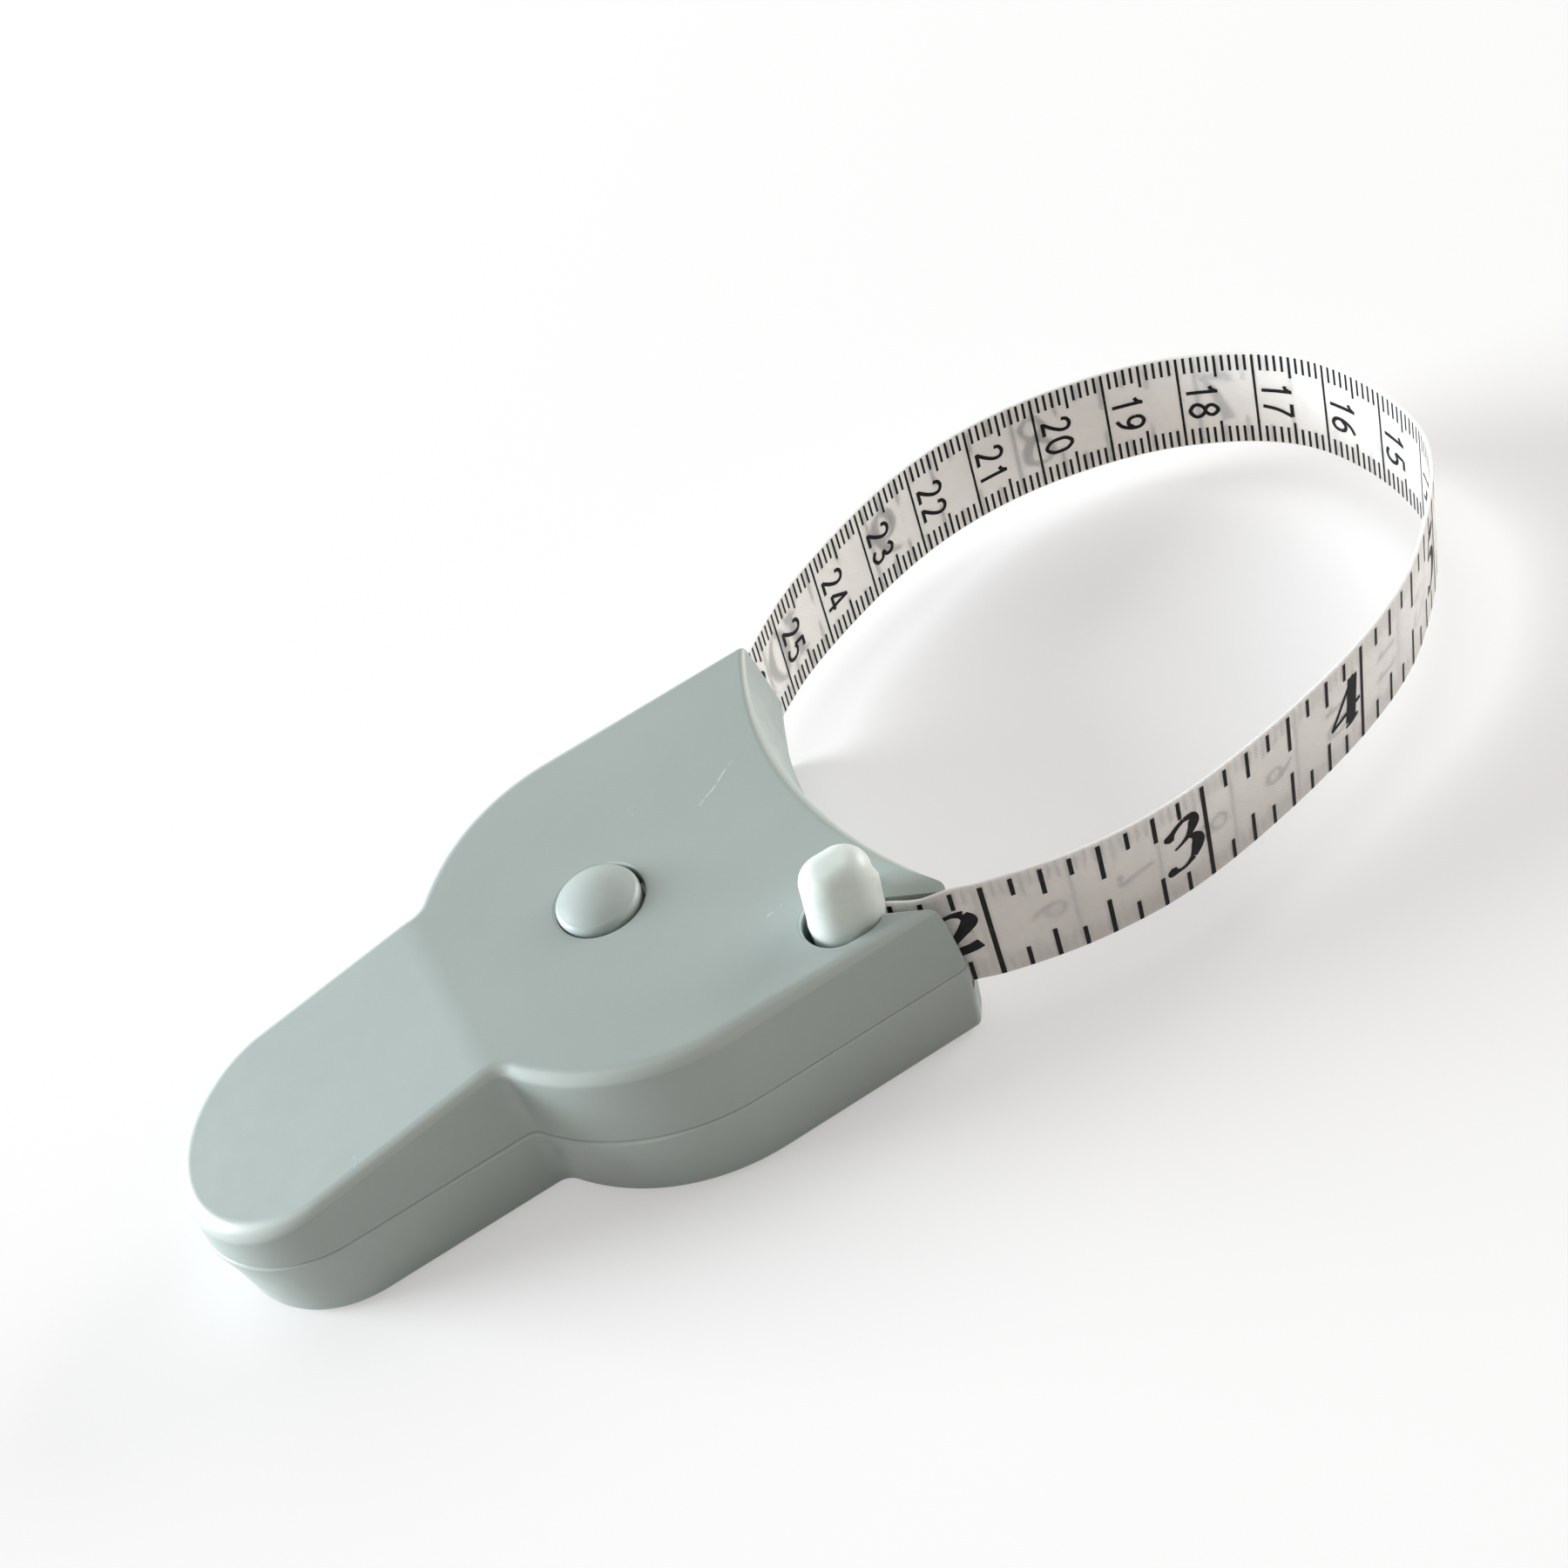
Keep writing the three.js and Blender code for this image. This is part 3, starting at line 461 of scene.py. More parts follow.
def lip_ring(rise, depth):
    """Ring of the lower half's rounded upper edge, which in places stands out past the upper half."""
    inset = LIP_ROUND - rise - LIP_STEP
    ring = []
    for (x, y), (x_in, y_in) in zip(case_outline(DRAFT), case_outline(0.0)):
        share = between(x, LIP_SHARES)
        inward = Vector((x_in - x, y_in - y)).normalized() * inset * share
        ring.append((x + inward.x, y + inward.y, PARTING - PARTING_GAP / 2 - depth * share))
    return ring


def lower_rings():
    edge = CASE_HEIGHT - LOWER_EDGE
    levels = wall_levels(4, 7.5)
    levels += [(edge + rise, draft_at(edge) - inset) for rise, inset in rounding(LOWER_EDGE, 6)]
    rings = [case_ring(CASE_HEIGHT - height, grow) for height, grow in reversed(levels)]
    return rings + [lip_ring(*spot) for spot in reversed(rounding(LIP_ROUND, 6))]


def oblong(grow, height, shift=0.0):
    straight = PEG_HALF_LENGTH - PEG_HALF_WIDTH
    radius = PEG_HALF_WIDTH + grow
    ends = arc(PEG_X + straight + shift, PEG_Y, radius, -QUARTER, QUARTER, 28)
    ends += arc(PEG_X - straight + shift, PEG_Y, radius, QUARTER, 3 * QUARTER, 28)
    return [(x, y, height) for x, y in ends]


def rim_levels(gap, bottom):
    """(growth, height) of a hole whose upper rim is rounded over into the case's top."""
    low = CASE_HEIGHT - RIM_ROUND
    rim = [(gap + inset, low + rise) for rise, inset in rounding(RIM_ROUND, 6, 1)]
    return [(gap, bottom), (gap, low)] + rim + [(gap + RIM_ROUND, CASE_HEIGHT + OVERCUT)]


# ---- case


def horn_block(bottom, top):
    """Solid part of the right horn, round the socket and the slit."""
    section = box_section(SLIT_WIDTH / 2 + HORN_WALL, bottom, top)
    block = slab("horn", SLIT_START, SLIT_RUN, section, HORN_BACK, HORN_FRONT)
    rings = [oblong(SOCKET_GAP + SOCKET_WALL, height) for height in (bottom, top)]
    combine(block, loft("socket_wall", rings), "UNION")
    return block


def bosses(bottom, top):
    return [post(BOSS_RADIUS, bottom, top, place) for place in SCREW_PLACES.values()]


def cut_horns(shell):
    """Socket and slit of the right horn, and the mouth in the left horn."""
    half = SLIT_WIDTH / 2
    socket = [oblong(g, z, SOCKET_SHIFT) for g, z in rim_levels(SOCKET_GAP, SLIT_FLOOR)]
    right = [(g + half, z) for g, z in rim_levels(0.0, SLIT_FLOOR + SLIT_STEP)]
    left = [(-a - SLIT_SPREAD, z) for a, z in reversed(right[1:])] + [(-SLIT_FOOT, right[0][1])]
    mouth = box_section(half, MOUTH_LOW, MOUTH_HIGH)
    cut(
        shell,
        loft("socket_cut", socket),
        slab("slit_cut", SLIT_START, SLIT_RUN, right + left, -OVERCUT, HORN_PAST),
        slab("mouth_cut", MOUTH_START, MOUTH_RUN, mouth, 0.0, HORN_PAST),
    )


def let_top_fall(edit):
    """Draws the upper half down along the handle, with a soft crease at the neck."""
    for step in range(-CREASE_CUTS, CREASE_CUTS + 1):
        spot = Vector(((NECK_X + CREASE_SOFTNESS * step / CREASE_CUTS) * MM, 0, 0))
        parts = edit.verts[:] + edit.edges[:] + edit.faces[:]
        bmesh.ops.bisect_plane(edit, geom=parts, plane_co=spot, plane_no=(1, 0, 0), dist=1e-7)
    slope = HANDLE_FALL / (NECK_X + HANDLE_REACH)
    for vert in edit.verts:
        back = NECK_X - vert.co.x / MM
        if back > CREASE_SOFTNESS:
            fall = slope * back
        elif back > -CREASE_SOFTNESS:
            fall = slope * (back + CREASE_SOFTNESS) ** 2 / (4 * CREASE_SOFTNESS)
        else:
            continue
        share = (vert.co.z / MM - PARTING) / (CASE_HEIGHT - FALL_DEPTH - PARTING)
        vert.co.z -= fall * none_to_one(share) * MM


def upper_case():
    """Top half: wall, ceiling, horn, screw bosses and the button's guide tube with its keyways."""
    shell = loft("case_top", upper_rings())
    inside = DRAFT - WALL
    ceiling = CASE_HEIGHT - FLOOR
    tube = ceiling - TUBE_DEPTH
    below = PARTING - 2 * OVERCUT
    above = CASE_HEIGHT + 2 * OVERCUT
    levels = [(PARTING - OVERCUT, inside), (PARTING, inside), (ceiling, -WALL)]
    hollow = loft("hollow", [case_ring(*level) for level in levels])
    guide = post(BUTTON_HOLE + TUBE_WALL, tube, above)
    cut(hollow, horn_block(below, above), guide, *bosses(below, above))
    low = tube - OVERCUT
    hole = [(BUTTON_HOLE + g, z) for g, z in rim_levels(0.0, low)]
    keyway = box_section(KEYWAY_HALF_WIDTH, low, ceiling)
    cut(
        shell,
        hollow,
        turned("button_hole", [(0, low)] + hole + [(0, CASE_HEIGHT + OVERCUT)]),
        slab("keyway", ORIGIN, Vector((1, 0)), keyway, -KEYWAY_REACH, KEYWAY_REACH),
    )
    cut_horns(shell)
    half = SLIT_WIDTH / 2
    inner = half - SCOOP_OVERLAP
    foot = CASE_HEIGHT - SCOOP_DEPTH
    top = foot + math.tan(SCOOP_ANGLE) * SCOOP_WIDTH
    scoop = [(inner, foot), (half, foot), (half + SCOOP_WIDTH, top), (inner, top)]
    cut(shell, slab("prong_slope", SLIT_START, SLIT_RUN, scoop, SCOOP_BACK, HORN_PAST))
    for place in SCREW_PLACES.values():
        cut(shell, post(PILOT_RADIUS, PARTING - OVERCUT, PARTING + PILOT_DEPTH, place, 24))
    edited(shell.data, let_top_fall)
    soften(shell)
    return shell


def lower_case():
    """Bottom half: wall, floor, horn, screw bosses and the spring post's boss."""
    shell = loft("case_bottom", lower_rings())
    inside = DRAFT - WALL
    top = PARTING + OVERCUT
    above = PARTING + 2 * OVERCUT
    hollow = loft("hollow", [case_ring(*level) for level in ((FLOOR, -WALL), (PARTING, inside), (top, inside))])
    arbor_boss = post(ARBOR_BOSS_RADIUS, -OVERCUT, ARBOR_BOSS_TOP)
    cut(hollow, horn_block(-2 * OVERCUT, above), arbor_boss, *bosses(-OVERCUT, above))
    cut(shell, hollow)
    cut_horns(shell)
    cut(shell, post(ARBOR_BORE, FLOOR / 2, ARBOR_BOSS_TOP + OVERCUT))
    wide = SCREW_HEAD_HOLE + SCREW_HOLE_BEVEL
    profile = [(0, -OVERCUT), (wide, -OVERCUT), (wide, 0), (SCREW_HEAD_HOLE, SCREW_HOLE_BEVEL)]
    profile += [(SCREW_HEAD_HOLE, SCREW_HEAD_SEAT), (SCREW_HOLE, SCREW_HEAD_SEAT), (SCREW_HOLE, top), (0, top)]
    for place in SCREW_PLACES.values():
        cut(shell, turned("screw_hole", profile, place, 48))
    soften(shell)
    return shell


# ---- small pieces


def button():
    """Domed cap on a keyed sleeve, with the brake's flange at its foot."""
    rim = CASE_HEIGHT + BUTTON_RIM
    crown = rim + BUTTON_CROWN
    edge = rim - BUTTON_EDGE
    foot = CASE_HEIGHT - BUTTON_DEPTH
    flange = foot + BRAKE_FLANGE
    profile = [(0, rim - BUTTON_SKIN), (BUTTON_BORE, rim - BUTTON_SKIN), (BUTTON_BORE, foot)]
    profile += [(BRAKE_FLANGE_RADIUS, foot), (BRAKE_FLANGE_RADIUS, flange), (BUTTON_RADIUS, flange)]
    bend = rounding(BUTTON_EDGE, 9, 0, BUTTON_EDGE_SWEEP)
    profile += [(BUTTON_RADIUS - inset, edge + rise) for rise, inset in bend]
    radius, height = profile[-1]
    for step in range(1, 20):
        share = 1 - step / 20
        profile.append((radius * share, height + (crown - height) * (1 - share**2)))
    piece = turned("button_cap", profile + [(0, crown)])
    key = box_section(KEY_HALF_WIDTH, foot + KEY_LIFT, CASE_HEIGHT - FLOOR - KEY_GAP)
    for side in (-1, 1):
        bar = slab("key", ORIGIN, Vector((side, 0)), key, KEY_START, BUTTON_RADIUS + KEY_REACH)
        combine(piece, bar, "UNION")
    piece.data.transform(Matrix.Translation(Vector((*BUTTON_SHIFT, 0)) * MM))
    soften(piece, 45)
    return piece


def peg():
    """Thumb-shaped peg with a soft fin on its front end, where the tape goes in."""
    shoulder = CASE_HEIGHT + PEG_RISE - PEG_ROUND
    straight = shoulder - CASE_HEIGHT
    levels = [(SLIT_FLOOR + PEG_FOOT_GAP, 0.0), (CASE_HEIGHT - 1, 0.0), (CASE_HEIGHT, 0.0)]
    for step in range(1, 9):
        share = step / 8
        levels.append((CASE_HEIGHT + straight * share, -PEG_TAPER * share**0.6))
    levels += [(shoulder + rise, -PEG_TAPER - inset) for rise, inset in rounding(PEG_ROUND, 12, 1)]
    rings = []
    for height, grow in levels:
        above = height - CASE_HEIGHT
        bulge = FIN_FOOT + FIN_SWELL * none_to_one(above / FIN_GROWTH)
        bulge *= eased(none_to_one((FIN_TOP - above) / FIN_FADE))
        lean = PEG_LEAN * none_to_one(above / straight)
        ring = []
        for x, y, z in oblong(grow, height):
            way = Vector((x - PEG_X, y - PEG_Y)).normalized()
            swell = FIN_WAY * bulge * math.exp(-((way.angle_signed(FIN_WAY) / FIN_SPREAD) ** 4))
            ring.append((x + swell.x + lean, y + swell.y, z))
        rings.append(ring)
    piece = loft("peg_body", rings)
    slot_top = TAPE_HIGH_MIDDLE + TAPE_WIDTH / 2 + PEG_SLOT_GAP
    slot = box_section(PEG_SLOT_HALF_WIDTH, PEG_SLOT_BOTTOM, slot_top)
    cut(piece, slab("slot", SLIT_START, SLIT_RUN, slot, PEG_SLOT_BACK, PEG_SLOT_FRONT))
    soften(piece, 60)
    return piece


def node_copy(name, held):
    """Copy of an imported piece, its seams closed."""
    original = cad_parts[held]
    mesh = original.data.copy()
    mesh.transform(original.matrix_world)
    edited(mesh, lambda edit: bmesh.ops.remove_doubles(edit, verts=edit.verts, dist=1e-7))
    return add_piece(name, mesh)


def screw(name, place):
    """Pan-head screw seen from below, with a cross recess."""
    piece = turned(name, SCREW_PROFILE, place, 40)
    bar = box_section(RECESS_HALF_WIDTH, RECESS_FOOT, RECESS_TOP)
    for run in (Vector((1, 0)), Vector((0, 1))):
        cut(piece, slab("recess", Vector(place), run, bar, -RECESS_REACH, RECESS_REACH))
    smooth(piece)
    return piece


# ---- node trees


def fill(tree, made, inputs):
    """Gives a node its inputs, by name or in order: sockets are linked and plain values are set."""
    for key, value in inputs.items() if isinstance(inputs, dict) else enumerate(inputs):
        if isinstance(value, bpy.types.NodeSocket):
            tree.links.new(value, made.inputs[key])
        else:
            made.inputs[key].default_value = value


def node(tree, kind, inputs=(), **settings):
    """Adds a node at the end of a tree's row of nodes."""
    made = tree.nodes.new(kind)
    made.location.x = 200 * len(tree.nodes)
    for key, value in settings.items():
        setattr(made, key, value)
    fill(tree, made, inputs)
    return made


def reckon(tree, operation, *values, **settings):
    return node(tree, "ShaderNodeMath", values, operation=operation, **settings).outputs[0]


def vector_of(tree, operation, first, second):
    place = "Scale" if operation == "SCALE" else 1
    return node(tree, "ShaderNodeVectorMath", {0: first, place: second}, operation=operation).outputs["Vector"]


def number_of(tree, operation, first, second):
    return node(tree, "ShaderNodeVectorMath", (first, second), operation=operation).outputs["Value"]


def new_group(name, kind, inputs, output, output_kind):
    """New node group: its tree, the sockets of its named inputs, and the socket of its output."""
    tree = bpy.data.node_groups.new(name, kind)
    for label, socket in inputs.items():
        tree.interface.new_socket(label, in_out="INPUT", socket_type=f"NodeSocket{socket}")
    tree.interface.new_socket(output, in_out="OUTPUT", socket_type=f"NodeSocket{output_kind}")
    given = node(tree, "NodeGroupInput")
    return tree, given.outputs, node(tree, "NodeGroupOutput").inputs[0]


def wrap_group():
    """Bends a flat layout, X along the tape, Y up it and Z outwards from its middle, round the tape's path."""
    sockets = {"Layout": "Geometry", "Path": "Object", "Finish": "Material"}
    tree, given, result = new_group("wrap_on_tape", "GeometryNodeTree", sockets, "Wrapped", "Geometry")
    path = node(tree, "GeometryNodeObjectInfo", {"Object": given["Path"]})
    middle = node(tree, "GeometryNodeMeshToCurve", {"Mesh": path.outputs["Geometry"]})
    upright = node(tree, "GeometryNodeInputNamedAttribute", {"Name": "upright"}, data_type="FLOAT_VECTOR")
    flat = node(tree, "ShaderNodeSeparateXYZ", [node(tree, "GeometryNodeInputPosition").outputs[0]]).outputs
    spot = node(
        tree,
        "GeometryNodeSampleCurve",
        {"Curves": middle.outputs["Curve"], "Length": flat["X"], "Value": upright.outputs["Attribute"]},
        mode="LENGTH",
        data_type="FLOAT_VECTOR",
        use_all_curves=True,
    ).outputs
    out = vector_of(tree, "CROSS_PRODUCT", spot["Tangent"], spot["Value"])
    raised = vector_of(tree, "ADD", spot["Position"], vector_of(tree, "SCALE", spot["Value"], flat["Y"]))
    place = vector_of(tree, "ADD", raised, vector_of(tree, "SCALE", out, flat["Z"]))
    moved = node(tree, "GeometryNodeSetPosition", {"Geometry": given["Layout"], "Position": place})
    real = node(tree, "GeometryNodeRealizeInstances", [moved.outputs[0]])
    done = node(tree, "GeometryNodeSetMaterial", {"Geometry": real.outputs[0], "Material": given["Finish"]})
    tree.links.new(done.outputs[0], result)
    return tree


def tick_group(wrap):
    """Evenly spaced printed ticks along both edges of the tape."""
    lengths = ("Start", "Pitch", "Stroke", "Upper length", "Lower length", "Upper edge", "Lower edge", "Face")
    sockets = {"Bare": "Geometry", "Path": "Object", **dict.fromkeys(lengths, "Float")}
    sockets.update({"Count": "Int", "Inner face": "Bool", "Ink": "Material"})
    tree, given, result = new_group("printed_ticks", "GeometryNodeTree", sockets, "Ticks", "Geometry")
    first = node(tree, "ShaderNodeCombineXYZ", {"X": given["Start"], "Z": given["Face"]}).outputs[0]
    step = node(tree, "ShaderNodeCombineXYZ", {"X": given["Pitch"]}).outputs[0]
    line = {"Count": given["Count"], "Start Location": first, "Offset": step}
    row = node(tree, "GeometryNodeMeshLine", line, mode="OFFSET").outputs["Mesh"]
    both = node(tree, "GeometryNodeJoinGeometry")
    for side, sign in (("Upper", -0.5), ("Lower", 0.5)):
        length = given[f"{side} length"]
        size = {"Size X": given["Stroke"], "Size Y": length, "Vertices X": 2, "Vertices Y": 3}
        mark = node(tree, "GeometryNodeMeshGrid", size).outputs["Mesh"]
        facing = node(tree, "GeometryNodeFlipFaces", {"Mesh": mark, "Selection": given["Inner face"]})
        spots = {"Points": row, "Instance": facing.outputs["Mesh"]}
        marks = node(tree, "GeometryNodeInstanceOnPoints", spots).outputs[0]
        middle = reckon(tree, "MULTIPLY_ADD", length, sign, given[f"{side} edge"])
        shift = node(tree, "ShaderNodeCombineXYZ", {"Y": middle}).outputs[0]
        moved = node(tree, "GeometryNodeTranslateInstances", {"Instances": marks, "Translation": shift})
        tree.links.new(moved.outputs[0], both.inputs[0])
    real = node(tree, "GeometryNodeRealizeInstances", [both.outputs[0]]).outputs[0]
    layout = {"Layout": real, "Path": given["Path"], "Finish": given["Ink"]}
    wrapped = node(tree, "GeometryNodeGroup", layout, node_tree=wrap).outputs[0]
    inked = node(tree, "GeometryNodeSetMaterial", {"Geometry": wrapped, "Material": given["Ink"]})
    tree.links.new(inked.outputs[0], result)
    return tree


def grow_nodes(piece, tree, values):
    """Runs a node tree on a piece with named inputs and keeps the plain mesh."""
    modifier = piece.modifiers.new(tree.name, "NODES")
    modifier.node_group = tree
    for item in tree.interface.items_tree:
        if item.in_out == "INPUT" and item.name in values:
            modifier[item.identifier] = values[item.name]
    settle(piece)


# ---- tape


def catmull_rom(knots, per_span):
    """Centripetal curve through points, closed where the last is the first."""
    if (knots[0] - knots[-1]).length < 1e-6:
        chain = [knots[-2]] + knots + [knots[1]]
    else:
        chain = [knots[0] * 2 - knots[1]] + knots + [knots[-1] * 2 - knots[-2]]
    points = []
    for i in range(1, len(chain) - 2):
        p0, p1, p2, p3 = chain[i - 1 : i + 3]
        d0, d1, d2 = (math.sqrt((b - a).length) for a, b in ((p0, p1), (p1, p2), (p2, p3)))
        m1 = ((p1 - p0) / d0 - (p2 - p0) / (d0 + d1) + (p2 - p1) / d1) * d1
        m2 = ((p2 - p1) / d1 - (p3 - p1) / (d1 + d2) + (p3 - p2) / d2) * d1
        for k in range(per_span):
            t = k / per_span
            points.append(
                p1 * (2 * t**3 - 3 * t**2 + 1)
                + m1 * (t**3 - 2 * t**2 + t)
                + p2 * (3 * t**2 - 2 * t**3)
                + m2 * (t**3 - t**2)
            )
    return points + [knots[-1]]


def beside(start, run, route):
    """Points in plan from (along, aside) pairs."""
    side = Vector((-run.y, run.x))
    return [start + run * along + side * aside for along, aside in route]


def tape_path():
    """Plan of the tape's middle from the peg to the roll, and the length up to each of its points."""
    slit = beside(SLIT_START, SLIT_RUN, SLIT_ROUTE)
    *mouth, bend = beside(MOUTH_START, MOUTH_RUN, MOUTH_ROUTE)
    loop = catmull_rom(slit + [Vector(p) for p in LOOP_ROUTE] + mouth, 40)
    radius = ROLL_RADIUS + TAPE_THICKNESS
    leave = math.atan2(bend.y, bend.x) + math.acos(radius / bend.length)
    lead = [Vector(p) for p in arc(0, 0, radius, leave, leave + math.pi / 6, ROLL_STEPS)]
    plan = [SLIT_START - SLIT_RUN * TAPE_IN_PEG] + loop + [bend] + lead
    lengths = [0.0]
    for a, b in zip(plan, plan[1:]):
        lengths.append(lengths[-1] + (b - a).length)
    return plan, lengths


def path_line():
    """Line down the tape's middle, with the way up as an attribute, its length, and the length of the loop."""
    plan, lengths = tape_path()
    bend = len(plan) - ROLL_STEPS - 2
    slit_end = TAPE_IN_PEG + SLIT_LENGTH
    mouth_end = lengths[bend] - SLIT_LENGTH + MOUTH_ROUTE[-1][0]
    leans = TAPE_LEANS + [(mouth_end, MOUTH_LEAN), (lengths[-1], 0.0)]
    points, uprights = [], []
    for i, (spot, along) in enumerate(zip(plan, lengths)):
        share = none_to_one((along - slit_end) / (mouth_end - slit_end))
        inside = max(0.0, (along - mouth_end) / (lengths[-1] - mouth_end))
        height = TAPE_HIGH_MIDDLE + (TAPE_LOW_MIDDLE - TAPE_HIGH_MIDDLE) * share
        height -= TAPE_SAG * math.sin(math.pi * share) + TAPE_DROP * inside
        points.append(Vector((spot.x, spot.y, height)) * MM)
        before, after = plan[max(0, i - 1)], plan[min(len(plan) - 1, i + 1)]
        run = (after - before).normalized()
        outward = Vector((run.y, -run.x, 0))
        uprights.append((Vector((0, 0, 1)) + outward * between(along, leans)).normalized())
    mesh = bpy.data.meshes.new("tape_middle")
    mesh.from_pydata(points, [(i, i + 1) for i in range(len(points) - 1)], [])
    attribute = mesh.attributes.new("upright", "FLOAT_VECTOR", "POINT")
    for i, way in enumerate(uprights):
        attribute.data[i].vector = way
    length = sum((b - a).length for a, b in zip(points, points[1:])) / MM
    return add_piece("tape_middle", mesh), length, lengths[bend - 1]


def tape_strip(name, wrap, path, cloth, length, begin, end):
    """A stretch of the tape: one flat strip of thin closed cloth, bent along the path."""
    steps = int((end - begin) / TAPE_STEP)
    half, thin = TAPE_WIDTH / 2, TAPE_THICKNESS / 2
    flat, side = half - TAPE_EDGE, thin - TAPE_EDGE
    section = [(0.0, thin), (flat, thin), (half, side), (half, -side), (flat, -thin)]
    section += [(-y, -z) for y, z in section]
    rings = []
    for i in range(steps + 1):
        along = begin + (end - begin) * i / steps
        rings.append([(along, y, z) for y, z in reversed(section)])
    piece = loft(name, rings)
    layer = piece.data.uv_layers.new(name="tape_uv")
    for loop in piece.data.loops:
        spot = piece.data.vertices[loop.vertex_index].co
        layer.data[loop.index].uv = (spot.x / (length * MM), spot.y / (TAPE_WIDTH * MM) + 0.5)
    grow_nodes(piece, wrap, {"Path": path, "Finish": cloth})
    smooth(piece, 50)
    return piece


# ---- printing

# Pen strokes of the centimetre numbers, one width throughout, in a box one high
PLAIN_STROKES = {
    "0": [
        [(0.3, 0.94), (0.1, 0.76), (0.06, 0.5), (0.1, 0.24), (0.3, 0.06), (0.5, 0.24), (0.54, 0.5), (0.5, 0.76),
         (0.3, 0.94)],
    ],
    "1": [[(0.13, 0.74), (0.25, 0.8), (0.34, 0.95)], [(0.34, 0.99), (0.34, 0.0)]],
    "2": [
        [(0.08, 0.7), (0.13, 0.86), (0.3, 0.94), (0.47, 0.87), (0.5, 0.68), (0.37, 0.42), (0.07, 0.06)],
        [(0.03, 0.06), (0.54, 0.06)],
    ],
    "3": [
        [(0.09, 0.8), (0.28, 0.94), (0.46, 0.84), (0.45, 0.64), (0.24, 0.52)],
        [(0.24, 0.52), (0.48, 0.43), (0.51, 0.2), (0.28, 0.06), (0.06, 0.18)],
    ],
    "4": [[(0.42, 0.0), (0.42, 0.98)], [(0.42, 0.95), (0.05, 0.3)], [(0.02, 0.28), (0.57, 0.28)]],
    "5": [
        [(0.5, 0.94), (0.13, 0.94)],
        [(0.16, 0.94), (0.11, 0.5)],
        [(0.11, 0.5), (0.3, 0.58), (0.47, 0.5), (0.52, 0.3), (0.44, 0.12), (0.26, 0.06), (0.07, 0.14)],
    ],
    "6": [
        [(0.46, 0.93), (0.22, 0.76), (0.08, 0.42), (0.12, 0.16), (0.3, 0.06), (0.46, 0.14), (0.52, 0.32)],
        [(0.52, 0.32), (0.45, 0.5), (0.28, 0.56), (0.1, 0.4)],
    ],
    "7": [[(0.05, 0.94), (0.55, 0.94)], [(0.53, 0.93), (0.32, 0.5), (0.2, 0.0)]],
    "8": [
        [(0.3, 0.53), (0.14, 0.63), (0.11, 0.78), (0.3, 0.94), (0.49, 0.78), (0.46, 0.63), (0.3, 0.53)],
        [(0.3, 0.53), (0.1, 0.4), (0.07, 0.22), (0.3, 0.06), (0.53, 0.22), (0.5, 0.4), (0.3, 0.53)],
    ],
    "9": [
        [(0.14, 0.07), (0.38, 0.24), (0.52, 0.58), (0.48, 0.84), (0.3, 0.94), (0.14, 0.86), (0.08, 0.68)],
        [(0.08, 0.68), (0.15, 0.5), (0.32, 0.44), (0.5, 0.6)],
    ],
}

